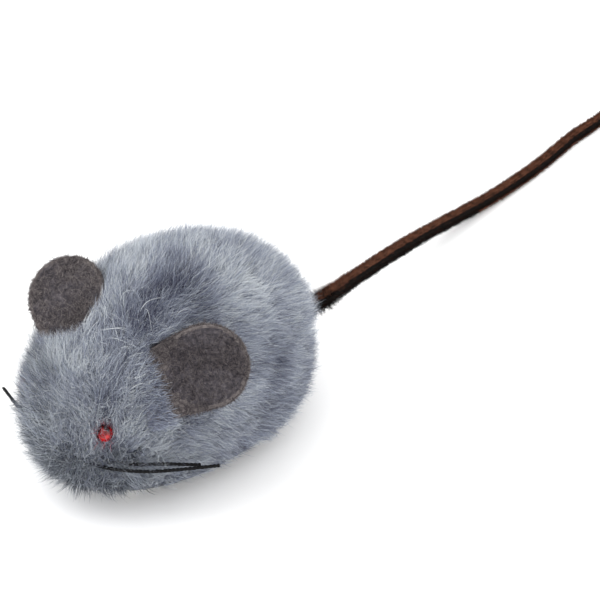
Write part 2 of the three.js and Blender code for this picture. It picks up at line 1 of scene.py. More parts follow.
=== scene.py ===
"""A clockwork plush mouse.

Long blue-grey fur, felt ears, red bead eyes, thread whiskers, a suede lace tail and a key.
"""
import json
import math
from contextlib import contextmanager

import bmesh
import bpy
import numpy as np
from mathutils import Matrix, Vector, kdtree, noise

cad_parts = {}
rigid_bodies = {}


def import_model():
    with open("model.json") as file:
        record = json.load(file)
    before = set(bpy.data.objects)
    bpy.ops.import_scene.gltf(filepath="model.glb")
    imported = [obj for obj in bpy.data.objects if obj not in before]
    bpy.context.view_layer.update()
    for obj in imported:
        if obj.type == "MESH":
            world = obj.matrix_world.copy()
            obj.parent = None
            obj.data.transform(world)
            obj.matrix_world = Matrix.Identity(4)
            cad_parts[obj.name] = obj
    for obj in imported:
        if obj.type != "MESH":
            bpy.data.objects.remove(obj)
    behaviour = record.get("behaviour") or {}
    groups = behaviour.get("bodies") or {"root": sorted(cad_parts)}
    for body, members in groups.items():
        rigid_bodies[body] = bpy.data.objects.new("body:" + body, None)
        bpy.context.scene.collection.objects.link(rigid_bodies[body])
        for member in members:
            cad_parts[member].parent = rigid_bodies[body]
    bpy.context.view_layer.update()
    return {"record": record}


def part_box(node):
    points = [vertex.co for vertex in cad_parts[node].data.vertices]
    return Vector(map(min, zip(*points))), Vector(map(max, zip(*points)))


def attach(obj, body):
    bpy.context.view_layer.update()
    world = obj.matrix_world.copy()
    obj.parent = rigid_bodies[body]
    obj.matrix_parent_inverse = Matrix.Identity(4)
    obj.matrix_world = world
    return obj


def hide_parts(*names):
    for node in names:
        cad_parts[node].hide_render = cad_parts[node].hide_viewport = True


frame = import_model()

# ---------------------------------------------------------------- camera

AZIMUTH, ELEVATION = math.radians(50), math.radians(36)
VIEW_FROM = Vector((
    math.sin(AZIMUTH) * math.cos(ELEVATION),
    -math.cos(AZIMUTH) * math.cos(ELEVATION),
    math.sin(ELEVATION),
))
VIEW_RIGHT = Vector((math.cos(AZIMUTH), math.sin(AZIMUTH), 0))
VIEW_UP = VIEW_FROM.cross(VIEW_RIGHT)
CAMERA_DISTANCE = 0.48
BODY_MIDDLE = Vector((0, 0, 0.020))
# The picture's centre lies to the right of the body and above it, over the tail.
LOOK_AT = BODY_MIDDLE + VIEW_RIGHT * 0.0284 + VIEW_UP * 0.0141
FRAME_WIDTH = 0.137  # what the picture shows from side to side at the body's distance
SENSOR_WIDTH = 36  # millimetres


def add_camera():
    data = bpy.data.cameras.new("camera")
    camera = bpy.data.objects.new("camera", data)
    bpy.context.collection.objects.link(camera)
    camera.location = BODY_MIDDLE + VIEW_FROM * CAMERA_DISTANCE
    towards = LOOK_AT - camera.location
    camera.rotation_euler = towards.to_track_quat("-Z", "Y").to_euler()
    data.sensor_width = SENSOR_WIDTH
    data.lens = SENSOR_WIDTH * towards.length / FRAME_WIDTH
    data.clip_start, data.clip_end = 0.01, 20
    bpy.context.scene.camera = camera


add_camera()

# ---------------------------------------------------------------- materials


def srgb(red, green, blue):
    """Linear colour from the usual 0 to 255 numbers."""
    return tuple(((c / 255 + 0.055) / 1.055) ** 2.4 for c in (red, green, blue))


def new_material(name, roughness, **sockets):
    """A Principled material, with single values set on the shader's own sockets."""
    material = bpy.data.materials.new(name)
    material.use_nodes = True
    shader = material.node_tree.nodes["Principled BSDF"]
    shader.inputs["Roughness"].default_value = roughness
    for socket, value in sockets.items():
        shader.inputs[socket.replace("_", " ")].default_value = value
    return material


def add_node(material, kind, **inputs):
    node = material.node_tree.nodes.new(kind)
    for socket, value in inputs.items():
        node.inputs[socket].default_value = value
    return node


def connect(material, source, target):
    material.node_tree.links.new(source, target)


def shader_of(material):
    return material.node_tree.nodes["Principled BSDF"]


def ramp(material, fac, stops):
    node = add_node(material, "ShaderNodeValToRGB")
    elements = node.color_ramp.elements
    while len(elements) < len(stops):
        elements.new(0.5)
    for element, (place, colour) in zip(elements, stops):
        element.position = place
        element.color = (*srgb(*colour), 1)
    connect(material, fac, node.inputs["Fac"])
    return node.outputs["Color"]


def noise_texture(material, scale, detail=4.0, stretch=(1, 1, 1)):
    """Noise over the piece's own coordinates; scale is in features a metre."""
    coords = add_node(material, "ShaderNodeTexCoord")
    mapping = add_node(material, "ShaderNodeMapping", Scale=stretch)
    texture = add_node(material, "ShaderNodeTexNoise", Scale=scale, Detail=detail, Roughness=0.6)
    connect(material, coords.outputs["Object"], mapping.inputs["Vector"])
    connect(material, mapping.outputs["Vector"], texture.inputs["Vector"])
    return texture.outputs["Fac"]


def mottled(name, stops, scale, relief_scale, relief, roughness, stretch=(1, 1, 1), **sockets):
    """A surface whose colour wanders through the stops, with a fine relief of that height in metres."""
    material = new_material(name, roughness, **sockets)
    colour = ramp(material, noise_texture(material, scale, 5, stretch), stops)
    connect(material, colour, shader_of(material).inputs["Base Color"])
    bump = add_node(material, "ShaderNodeBump", Strength=0.7, Distance=relief)
    connect(material, noise_texture(material, relief_scale, 3, stretch), bump.inputs["Height"])
    connect(material, bump.outputs["Normal"], shader_of(material).inputs["Normal"])
    return material


def shade_set(name, stops, count, roughness, **sockets):
    """Materials from dark to pale, one for each step of a strand's tone."""
    places = [place for place, _ in stops]
    colours = np.array([srgb(*colour) for _, colour in stops])
    shades = []
    for step in range(count):
        tone = step / (count - 1)
        colour = [float(np.interp(tone, places, colours[:, channel])) for channel in range(3)]
        shades.append(new_material(f"{name}_{step + 1}", roughness, Base_Color=(*colour, 1), **sockets))
    return shades


FUR_SHADES = shade_set("fur_shade", [
    (0.00, (46, 47, 64)),
    (0.30, (93, 98, 116)),
    (0.60, (142, 149, 163)),
    (1.00, (204, 209, 212)),
], 14, 0.7, Specular_IOR_Level=0.2, Sheen_Weight=0.15, Sheen_Roughness=0.5)
NAP_SHADES = shade_set(
    "felt_fibre", [(0.0, (38, 34, 39)), (1.0, (138, 130, 128))], 6, 0.85, Specular_IOR_Level=0.15
)
LACE_SHADES = shade_set(
    "suede_fibre", [(0.0, (11, 6, 3)), (1.0, (112, 68, 50))], 6, 0.85, Specular_IOR_Level=0.15
)

CLOTH = mottled(
    "backing_cloth", [(0.35, (52, 55, 73)), (0.7, (82, 87, 106))], 260, 1500, 0.0003, 0.9,
    Specular_IOR_Level=0.1,
)
FELT = mottled(
    "felt", [(0.30, (34, 31, 36)), (0.50, (56, 52, 57)), (0.72, (96, 90, 93))], 1100, 1900, 0.00035, 0.95,
    Specular_IOR_Level=0.1, Sheen_Weight=0.25, Sheen_Roughness=0.6,
)
FELT_EDGE = mottled(
    "felt_edge", [(0.30, (66, 61, 63)), (0.75, (120, 113, 111))], 1300, 1900, 0.0004, 0.95,
    Specular_IOR_Level=0.1,
)
SUEDE = mottled(
    "suede", [(0.28, (28, 15, 9)), (0.50, (66, 40, 28)), (0.75, (104, 66, 50))], 420, 1500, 0.0004, 0.95,
    Specular_IOR_Level=0.05,
)
# The suede's darker copy: painted shade for the lace's left edge, which faces away from the light.
SUEDE_PAINTED_SHADE = mottled(
    "suede_edge", [(0.35, (9, 5, 4)), (0.70, (26, 14, 9))], 500, 1500, 0.0004, 0.95, Specular_IOR_Level=0.05
)
THREAD = mottled(
    "thread", [(0.35, (3, 3, 4)), (0.75, (17, 17, 20))], 1500, 4000, 0.0001, 0.75, Specular_IOR_Level=0.2
)
BEAD = mottled(
    "red_bead", [(0.40, (26, 0, 3)), (0.52, (126, 3, 10)), (0.66, (216, 16, 18))], 420, 300, 0.00005, 0.16,
    Coat_Weight=0.25, Coat_Roughness=0.06,
)
# The hard finishes: their dark and pale colours, then what mottled() takes, up to the pattern's stretch.
HARD_FINISHES = {
    "dark_plastic": ((38, 40, 44), (52, 54, 59), 220, 2600, 0.00006, 0.5),
    "grey_plastic": ((128, 131, 136), (146, 149, 154), 200, 2600, 0.00006, 0.45),
    "white_plastic": ((216, 212, 202), (232, 229, 220), 240, 2400, 0.00005, 0.38),
    "rubber": ((24, 24, 25), (42, 42, 43), 700, 3000, 0.0001, 0.85),
    "steel": ((150, 152, 156), (186, 188, 190), 300, 2500, 0.00003, 0.3, (8, 1, 1)),
    "spring_steel": ((66, 72, 86), (96, 100, 112), 300, 2500, 0.00003, 0.33, (1, 6, 1)),
    "brass": ((176, 134, 62), (214, 172, 92), 260, 2400, 0.00004, 0.3, (1, 5, 1)),
}
METALS = ("steel", "spring_steel", "brass")
FINISHES = {"fur": CLOTH, "felt": FELT, "suede": SUEDE, "thread": THREAD, "red_bead": BEAD}
for finish, (dark, pale, *surface) in HARD_FINISHES.items():
    metallic = 1.0 if finish in METALS else 0.0
    FINISHES[finish] = mottled(finish, [(0.3, dark), (0.7, pale)], *surface, Metallic=metallic)


def finish_cad_nodes():
    """Every CAD piece takes the finish of its slot in the record."""
    for row in frame["record"]["subparts"]:
        for slot in bpy.data.objects[row["node"]].material_slots:
            slot.material = FINISHES[row["material_slot"]]


finish_cad_nodes()

# ---------------------------------------------------------------- meshes


def unit(vectors):
    return vectors / np.maximum(np.linalg.norm(vectors, axis=-1, keepdims=True), 1e-12)


@contextmanager
def editing(mesh):
    """The mesh as a form that bmesh can edit, written back at the end."""
    form = bmesh.new()
    form.from_mesh(mesh)
    yield form
    form.to_mesh(mesh)
    form.free()


def link_piece(name, mesh, materials, body):
    piece = bpy.data.objects.new(name, mesh)
    bpy.context.collection.objects.link(piece)
    for material in materials:
        mesh.materials.append(material)
    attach(piece, body)
    return piece


def new_piece(name, verts, faces, materials, body, smooth=True, face_slots=None):
    """A piece from points and faces, with its faces turned outwards."""
    mesh = bpy.data.meshes.new(name)
    mesh.from_pydata([tuple(v) for v in verts], [], faces)
    if face_slots is not None:
        mesh.polygons.foreach_set("material_index", face_slots)
    with editing(mesh) as form:
        bmesh.ops.recalc_face_normals(form, faces=form.faces)
    if smooth:
        mesh.shade_smooth()
    return link_piece(name, mesh, materials, body)


def grid_faces(rows, columns, wrap_rows=False, wrap_columns=False):
    """The faces of a grid of points. A wrapped direction also joins its last points to its first."""
    return [
        (
            i * columns + j, i * columns + (j + 1) % columns,
            (i + 1) % rows * columns + (j + 1) % columns, (i + 1) % rows * columns + j,
        )
        for i in range(rows if wrap_rows else rows - 1)
        for j in range(columns if wrap_columns else columns - 1)
    ]


def curve_points(route, count):
    """count points, evenly spaced, on the smooth curve through the route's points."""
    route = np.asarray(route, float)
    padded = np.vstack([2 * route[0] - route[1], route, 2 * route[-1] - route[-2]])
    share = np.linspace(0, 1, 40, endpoint=False)[:, None]
    stretches = [
        0.5 * (
            2 * b + (c - a) * share + (2 * a - 5 * b + 4 * c - d) * share**2
            + (3 * b - a - 3 * c + d) * share**3
        )
        for a, b, c, d in zip(padded, padded[1:], padded[2:], padded[3:])
    ]
    fine = np.vstack([*stretches, route[-1:]])
    run = np.concatenate([[0], np.cumsum(np.linalg.norm(np.diff(fine, axis=0), axis=1))])
    even = np.linspace(0, run[-1], count)
    return np.stack([np.interp(even, run, fine[:, axis]) for axis in range(3)], axis=1)


def path_frame(points):
    """For each point of a path: its direction, the level direction across it, and the one above both."""
    tangents = unit(np.gradient(points, axis=0))
    across = unit(np.cross(tangents, [0, 0, 1]))
    return tangents, across, np.cross(across, tangents)


def sweep(points, sections):
    """A closed tube: sections holds each step's corners as (across, upwards)."""
    _, across, upwards = path_frame(points)
    rings = points[:, None] + sections[..., :1] * across[:, None] + sections[..., 1:] * upwards[:, None]
    steps, corners = rings.shape[:2]
    ends = [tuple(range(corners)), tuple(range((steps - 1) * corners, steps * corners))]
    return rings.reshape(-1, 3), ends + grid_faces(steps, corners, wrap_columns=True)


def revolve(profile, sides, origin, axis, closed=True, shape=None):
    """Turns a profile of (along, radius) points about an axis. shape may change the radius at each turn."""
    axis = np.array(Vector(axis).normalized())
    first = unit(np.cross(axis, [0.13, 0.21, 1.0]))
    second = np.cross(axis, first)
    profile = np.asarray(profile, float)
    verts = []
    for side in range(sides):
        angle = 2 * math.pi * side / sides
        radius = profile[:, 1] if shape is None else shape(profile[:, 1], side)
        outwards = math.cos(angle) * first + math.sin(angle) * second
        verts.append(np.asarray(origin) + profile[:, :1] * axis + radius[:, None] * outwards)
    count = len(profile)
    faces = []
    for side in range(sides):
        after = (side + 1) % sides
        for step in range(count if closed else count - 1):
            up = (step + 1) % count
            faces.append((side * count + step, after * count + step, after * count + up, side * count + up))
    if not closed:
        faces.append(tuple(side * count for side in range(sides)))
        faces.append(tuple(side * count + count - 1 for side in range(sides)))
    return np.concatenate(verts), faces


def smooth_noise(points, scale, seed):
    """Slowly changing numbers from about -1 to 1, one for each point."""
    shift = Vector((seed * 3.1, seed * 1.7, seed * 2.3))
    return np.array([noise.noise(Vector(p) * scale + shift) for p in points])


def strand_mesh(name, lines, normals, widths, tones, rng, shades):
    """One mesh of flat tapering strands, in the shades of their tones and lit as the surface below is."""
    count, levels = lines.shape[:2]
    tangents = unit(np.gradient(lines, axis=1))
    tilt = rng.normal(0, 0.5, (count, 1, 1))
    outward = normals[:, None, :]
    side = unit(np.cross(tangents, outward))
    side = unit(side * np.cos(tilt) + np.cross(tangents, side) * np.sin(tilt))
    taper = (1 - np.linspace(0, 1, levels) ** 1.8)[None, :-1, None]
    half = widths[:, None, None] / 2 * taper * side[:, :-1]
    pairs = np.stack([lines[:, :-1] - half, lines[:, :-1] + half], axis=2).reshape(count, -1, 3)
    verts = np.concatenate([pairs, lines[:, -1:]], axis=1)
    per_strand = 2 * (levels - 1) + 1
    base = (np.arange(count) * per_strand)[:, None]
    quads = np.concatenate(
        [base + np.array([2 * i, 2 * i + 1, 2 * i + 3, 2 * i + 2]) for i in range(levels - 2)], axis=1
    ).reshape(-1, 4)
    tips = (base + np.array([per_strand - 3, per_strand - 2, per_strand - 1])).reshape(-1, 3)
    sizes = np.concatenate([np.full(len(quads), 4), np.full(len(tips), 3)])
    mesh = bpy.data.meshes.new(name)
    mesh.vertices.add(count * per_strand)
    mesh.vertices.foreach_set("co", verts.reshape(-1).astype(np.float32))
    mesh.loops.add(int(sizes.sum()))
    mesh.loops.foreach_set("vertex_index", np.concatenate([quads.ravel(), tips.ravel()]).astype(np.int32))
    mesh.polygons.add(len(sizes))
    mesh.polygons.foreach_set("loop_start", np.concatenate([[0], np.cumsum(sizes)[:-1]]).astype(np.int32))
    face_tones = (tones[:, :-1] + tones[:, 1:]) / 2
    steps = np.clip((face_tones * len(shades)).astype(int), 0, len(shades) - 1)
    mesh.polygons.foreach_set(
        "material_index", np.concatenate([steps[:, :-1].ravel(), steps[:, -1]]).astype(np.int32)
    )
    mesh.update(calc_edges=True)
    mesh.shade_smooth()
    facing = np.cross(side, tangents)
    facing *= np.sign(np.sum(facing * outward, axis=-1, keepdims=True))
    shading = unit(outward + 0.5 * facing + rng.normal(0, 0.15, (count, 1, 3)))
    shading = np.concatenate([np.repeat(shading[:, :-1], 2, axis=1), shading[:, -1:]], axis=1)
    mesh.normals_split_custom_set_from_vertices(shading.reshape(-1, 3).astype(np.float32))
    return link_piece(name, mesh, shades, "chassis")


def straight_strands(roots, directions, lengths, levels):
    """Straight centre lines of strands: strand, level, xyz."""
    return roots[:, None] + directions[:, None] * (lengths[:, None] * np.linspace(0, 1, levels))[..., None]


def one_tone(tones, levels):
    """The same tone along each strand."""
    return np.repeat(tones[:, None], levels, axis=1)


# ---------------------------------------------------------------- tail

# The route of the tail's solid in the CAD model, in metres: out of the rump and down to the floor.
TAIL_ROUTE = np.array([
    (0, 24.6, 17.6), (0, 33, 17.7), (0.3, 39, 17.5), (0.4, 44.6, 17), (-1.8, 52.8, 15.5), (-4.3, 60.9, 13.8),
    (-6.7, 69.1, 12), (-9.1, 77.3, 10.3), (-11.3, 85.6, 8.6), (-13.2, 94, 7.1), (-14.8, 102.4, 5.6),
    (-16.2, 110.9, 4.2), (-17.3, 119.5, 3.1), (-18.3, 128.1, 2.3), (-19.3, 136.8, 1.8), (-20.4, 145.4, 1.5),
    (-21.7, 154.1, 1.3), (-23.3, 162.7, 1.3), (-24.9, 171.3, 1.3), (-25.7, 180, 1.3), (-26.4, 188.7, 1.3),
]) / 1000
TAIL_WIDTH, TAIL_THICKNESS = 0.0034, 0.0024
TAIL_EXIT = (0, 0.0305, 0.0176)  # where the lace passes through the shell
TAIL_STEPS = 260
LACE_CORNERS = 28
FIRST_NAP_STEP = 25  # the lace has no raised fibres where it lies inside the body
NAP_SEAT = 0.97  # how far out on the lace's section the fibres are rooted
BRISTLE_Y, BRISTLE_REACH = 0.042, 0.009  # the brush where the lace leaves the fur


def lace_sections(points):
    """The folded lace: two lips with a groove between them on its left edge, and a soft, uneven outline."""
    angles = np.linspace(0, 2 * math.pi, LACE_CORNERS, endpoint=False)
    cosines, sines = np.cos(angles), np.sin(angles)
    boxed = 0.32  # how square the rounded outline is: lower is squarer
    across = np.sign(cosines) * np.abs(cosines) ** boxed * TAIL_WIDTH / 2
    upwards = np.sign(sines) * np.abs(sines) ** boxed * TAIL_THICKNESS / 2
    groove = np.exp(-((upwards / 0.0005) ** 2)) * (cosines > 0) * 0.0007
    outline = np.stack([across - groove, upwards], axis=-1)
    share = np.linspace(0, 1, len(points))
    sections = np.repeat(outline[None], len(points), axis=0)
    swell = 1 + 0.05 * smooth_noise(points, 140, 21)[:, None, None] - 0.10 * share[:, None, None]
    rough = np.array([smooth_noise(points + 0.004 * corner, 900, 22) for corner in range(LACE_CORNERS)]).T
    return sections * swell * (1 + 0.05 * rough[..., None])


def lower_lip(points):
    """Where along the lace its lower lip shows the lit brown, as painted light, below the groove."""
    return np.linspace(0, 1, len(points)) + 0.1 * smooth_noise(points, 160, 23) > 0.58


def is_lit_brown(place, lip):
    """Painted light and shade: the top is the lit brown and the left edge is painted dark as in shade, apart
    from the lower lip, which shows the lit brown.
    """
    across, upwards = place[..., 0] / (TAIL_WIDTH / 2), place[..., 1] / (TAIL_THICKNESS / 2)
    return ((upwards > 0.55) & (across < 0.62)) | (lip & (across > 0) & (upwards < -0.5))


def add_tail():
    points = curve_points(TAIL_ROUTE, TAIL_STEPS)
    sections = lace_sections(points)
    verts, faces = sweep(points, sections)
    between = (sections + np.roll(sections, -1, axis=1)) / 2
    # Painted light and shade: lit brown faces take the suede, the rest its darker painted-shade copy.
    brown = is_lit_brown(between, lower_lip(points)[:, None])
    slots = [1, 1]
    for step in range(TAIL_STEPS - 1):
        slots += [0 if brown[step, corner] else 1 for corner in range(LACE_CORNERS)]
    lace = new_piece("tail_lace", verts, faces, [SUEDE, SUEDE_PAINTED_SHADE], "chassis", face_slots=slots)
    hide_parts("tail")
    nap = add_lace_nap(points, sections)


def add_lace_nap(points, sections):
    """The suede's raised fibres, longest in a brush where the lace leaves the fur."""
    rng = np.random.default_rng(5)
    count, levels = 26000, 3
    tangents, across, upwards = path_frame(points)
    step = rng.integers(FIRST_NAP_STEP, len(points), count)
    corner = rng.integers(0, LACE_CORNERS, count)
    place = sections[step, corner] * NAP_SEAT
    roots = points[step] + place[:, :1] * across[step] + place[:, 1:] * upwards[step]
    roots += tangents[step] * rng.uniform(-0.0004, 0.0004, (count, 1))
    normals = unit(place[:, :1] * across[step] + place[:, 1:] * upwards[step])
    bristle = np.exp(-(((points[step, 1] - BRISTLE_Y) / BRISTLE_REACH) ** 2))
    lean = unit(
        normals * rng.uniform(0.3, 1.0, (count, 1)) + tangents[step] * (0.8 - 1.5 * bristle[:, None])
        + rng.normal(0, 0.45, (count, 3))
    )
    lengths = rng.uniform(0.0003, 0.0012, count) * (1 + 1.7 * bristle)
    lines = straight_strands(roots, lean, lengths, levels)
    lines[..., 2] = np.maximum(lines[..., 2], 0.0001)
    # Painted light and painted shade: fibres on the lit brown faces are paler than those on the left edge,
    # which are painted dark as in shade.
    lit = is_lit_brown(place / NAP_SEAT, lower_lip(points)[step])
    blotch = 0.16 * smooth_noise(roots, 700, 24)
    tones = 0.06 + (0.46 - 0.16 * bristle) * lit + blotch * lit + rng.normal(0, 0.10, count) * (0.5 + lit)
    tones = one_tone(np.clip(tones, 0, 0.99), levels)
    widths = rng.uniform(0.00009, 0.00017, count)
    return strand_mesh("tail_nap", lines, normals, widths, tones, rng, LACE_SHADES)


add_tail()

# ---------------------------------------------------------------- the coat's form

coat_low, coat_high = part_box("fur_coat")
HALF_WIDTH = (coat_high.x - coat_low.x) / 2
HALF_LENGTH = (coat_high.y - coat_low.y) / 2 - 0.0005
HALF_HEIGHT = 0.0315
# The fur stands further out over the muzzle than over the rump, which its pile leans away from.
CENTRE = np.array([0, -0.0018, coat_high.z - HALF_HEIGHT + 0.0010])
MUZZLE_SWELL = 0.03  # how much fuller than an egg the muzzle is
RUMP_TAPER = 0.14  # and how much slimmer the rump
SKIN_DEPTH = 0.0050  # from the tips of the fur to the cloth that it grows from
SKIN_RIM_Z = coat_low.z + 0.0034
LOWEST_FUR = coat_low.z + 0.0024

shell_low, shell_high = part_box("top_shell")
SHELL_CENTRE_Z = 0.012
SHELL_SIZE = np.array([
    (shell_high.x - shell_low.x) / 2, (shell_high.y - shell_low.y) / 2, shell_high.z - SHELL_CENTRE_Z,
]) + 0.0010

KEY_LOW, KEY_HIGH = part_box("winding_key")
KEY_AXIS = np.array([(KEY_LOW.y + KEY_HIGH.y) / 2, (KEY_LOW.z + KEY_HIGH.z) / 2])
KEY_WELL = 0.0084  # the radius of the clear well round the key,
KEY_SIDE_X = -0.010  # which is on the right flank, beyond this place


def fullness(along):
    """How full the body is at each share of its length, from -1 at the nose to 1 at the rump."""
    return 1 - np.where(along > 0, RUMP_TAPER, MUZZLE_SWELL) * along


def egg_point(turn, around, depth):
    """turn runs from 0 at the nose to pi at the rump; around is 0 on the left side and pi/2 on top."""
    turn, around = np.broadcast_arrays(turn, around)
    along = -np.cos(turn)
    girth = np.sin(turn) * fullness(along)
    return CENTRE + np.stack([
        (HALF_WIDTH - depth) * girth * np.cos(around),
        (HALF_LENGTH - depth) * along,
        (HALF_HEIGHT - depth) * girth * np.sin(around),
    ], axis=-1)


def egg_normal(points, depth=0.0):
    """The outward direction of the egg through each point."""
    size = np.array([HALF_WIDTH - depth, HALF_LENGTH - depth, HALF_HEIGHT - depth])
    return unit((points - CENTRE) / size**2)


def outside_shell(points):
    """Moves points that would lie inside the plastic shell out to its surface."""
    middle = np.array([0, 0, SHELL_CENTRE_Z])
    reach = np.linalg.norm((points - middle) / SHELL_SIZE, axis=-1, keepdims=True)
    return middle + (points - middle) / np.minimum(reach, 1)


# ---------------------------------------------------------------- ears, as places


SEWN_TUCK = 0.0013  # how much the stitching draws in each side of an ear's root


class Ear:
    """An ear's own directions, measured on its CAD solid: along it, across it, and the way it faces."""

    def __init__(self, name, bare_from, palest_as_lit):
        self.name = name
        self.palest_as_lit = palest_as_lit  # how pale the palest fibres on its faces are
        self.bare_from = bare_from  # beyond this distance from its root its front is clear of fur
        points = np.array([v.co for v in bpy.data.objects[name].data.vertices])
        middle = points.mean(axis=0)
        self.facing = np.linalg.svd(points - middle)[2][2]
        self.facing *= -np.sign(self.facing[1])
        # The corners of the root are the points furthest from the middle.
        reach = np.linalg.norm(points - middle, axis=1)
        self.root = points[reach > reach.max() - 0.0008].mean(axis=0)
        self.along = unit(middle - self.root)
        self.across = np.cross(self.facing, self.along)
        run, width, depth = self.coordinates(points)
        self.length = run.max()
        self.radius = width.max()
        self.centre = self.length - self.radius  # how far the disc's middle is from the root
        self.root_half = np.abs(width[run < 0.001]).max() - SEWN_TUCK
        self.thickness = depth.max() - depth.min()

    def coordinates(self, points):
        offset = points - self.root
        return offset @ self.along, offset @ self.across, offset @ self.facing

    def half_width(self, run):
        """Half the ear's width at each distance from its root: a cone that opens into a disc."""
        lean = math.asin((self.radius - self.root_half) / self.centre)
        joins = self.centre - self.radius * math.sin(lean)
        disc = np.sqrt(np.maximum(self.radius**2 - (run - self.centre) ** 2, 0))
        opening = self.radius * math.cos(lean) - self.root_half
        cone = self.root_half + opening * np.maximum(run, 0) / joins
        return np.where(run > joins, disc, cone)

    def covers(self, run, width, margin):
        """True where a point lies over the ear's outline, grown by a margin."""
        within = np.abs(width) < self.half_width(run - margin) + margin
        return (run > 0) & (run < self.length + margin) & within

    def cup(self, run, width):
        """How far the felt bends forwards, away from its flat plane."""
        sides = (np.abs(width) / self.radius) ** 2.4 * 0.0009
        return sides + ((run - self.centre) / self.radius) ** 2 * 0.0004 - 0.0004

    def point(self, run, width, depth):
        run, width, depth = (np.asarray(value)[..., None] for value in (run, width, depth))
        return self.root + run * self.along + width * self.across + depth * self.facing


# Painted shade and painted light: the left ear's nap fibres are darker, as in shade, and the right ear's
# paler, as lit.
EARS = [Ear("ear_left", 0.0053, 0.44), Ear("ear_right", 0.0038, 0.70)]
BEHIND_EAR = 0.0014
SEAT_RUN = 0.0035  # the fur that is pushed back starts this far from an ear's root,
SEAT_DEPTH = 0.010  # and within this distance of its plane


def settle_behind_ears(points, gap):
    """Pushes points that lie over an ear's disc back behind it."""
    for ear in EARS:
        run, width, depth = ear.coordinates(points)
        over = ear.covers(run, width, 0.0010) & (run > SEAT_RUN) & (np.abs(depth) < SEAT_DEPTH)
        points = points - np.where(over, np.maximum(depth + gap, 0), 0)[..., None] * ear.facing
    return points


# ---------------------------------------------------------------- fur

LEVELS = 5  # points along each strand of the coat
PALEST = 0.999  # tones run from 0 to just under 1
# The parting on the crown, to the left of the spine, as (Y, X) in metres.
PARTING = np.array([
    (-0.034, 0.0105), (-0.0195, 0.0096), (-0.0122, 0.0094), (-0.0056, 0.0079), (0.0087, 0.0087),
])
PARTING_END_Y = 0.016  # behind this place it no longer shows
# Painted shade where the coat lies in shadow, as along the left ear, over the crown and under the muzzle, and
# painted light where it is lit:
# the middle and the radius in millimetres, and how much paler.
SHADE_AND_LIGHT_PATCHES = [
    ((7.9, -5.6, 50.1), 5.5, -0.30), ((9.4, -12.2, 48.3), 6.0, -0.32), ((8.8, -19.5, 46.2), 6.5, -0.32),
    ((13.9, -4.8, 46.2), 5.5, -0.13), ((10.6, -31.4, 36.0), 5.5, -0.14), ((11.1, -36.6, 15.6), 6.0, -0.22),
    ((15.2, -32.7, 21.3), 4.5, -0.12), ((1.7, -11.1, 51.0), 4.5, 0.14), ((4.1, -21.2, 47.4), 4.5, 0.12),
    ((6.8, -29.8, 40.7), 4.5, 0.10), ((11.2, 12.4, 46.0), 10.0, 0.06), ((-8.0, 8.0, 48.0), 9.0, 0.08),
    ((-14.0, -8.0, 42.0), 6.0, -0.14), ((-12.0, -33.0, 24.0), 6.0, -0.14), ((0.0, 30.0, 36.0), 8.0, 0.06),
    ((22.4, 10.8, 28.2), 12.0, -0.15), ((21.9, 15.8, 18.4), 10.0, -0.08), ((19.5, -25.0, 24.2), 8.0, -0.05),
]


def from_parting(points):
    """The distance from the parting's line to each point, and how strongly the parting shows there."""
    offset = points[:, 0] - np.interp(points[:, 1], PARTING[:, 0], PARTING[:, 1])
    top = np.clip((points[:, 2] - CENTRE[2]) / HALF_HEIGHT, 0, 1)
    shows = top * np.clip((PARTING_END_Y - points[:, 1]) / PARTING_END_Y, 0, 1)
    return offset, shows


def strand_flow(points, normals):
    """The way the fur lies: up the face, then back to the rump, parted on the crown, with slow swirls."""
    swirl = smooth_noise(points, 60, 1)
    sway = smooth_noise(points, 150, 2)
    offset, shows = from_parting(points)
    parting = np.sign(offset) * np.exp(-((offset / 0.010) ** 2)) * shows * 0.9
    face = np.clip((-0.006 - points[:, 1]) / 0.020, 0, 1)
    below = np.clip((CENTRE[2] - points[:, 2]) / HALF_HEIGHT, 0, 1)
    flow = np.stack([
        parting + 0.65 * swirl + 0.40 * sway,
        np.ones(len(points)),
        1.7 * face - 0.25 * (1 - face) + 0.1 * below * (1 - face) + 0.4 * smooth_noise(points, 140, 3),
    ], axis=-1)
    flow -= normals * np.sum(flow * normals, axis=1, keepdims=True)
    return unit(flow)


def scatter_roots(count, rng, depth=SKIN_DEPTH):
    """Points spread evenly over the skin, by area, outside the key's well and above the skirt's rim."""
    found = []
    total = 0
    while total < count:
        turn = rng.uniform(0, math.pi, count)
        around = rng.uniform(-math.pi, math.pi, count)
        points = outside_shell(egg_point(turn, around, depth))
        stretch = np.sin(turn) * np.hypot(HALF_LENGTH * np.sin(turn), HALF_WIDTH * np.cos(turn)) / HALF_LENGTH
        keep = rng.uniform(0, 1, count) < stretch
        keep &= points[:, 2] > SKIN_RIM_Z
        from_key = np.hypot(points[:, 1] - KEY_AXIS[0], points[:, 2] - KEY_AXIS[1])
        keep &= ~((points[:, 0] < 0) & (from_key < KEY_WELL + 0.0008))
        found.append(points[keep])
        total += keep.sum()
    return np.concatenate(found)[:count]


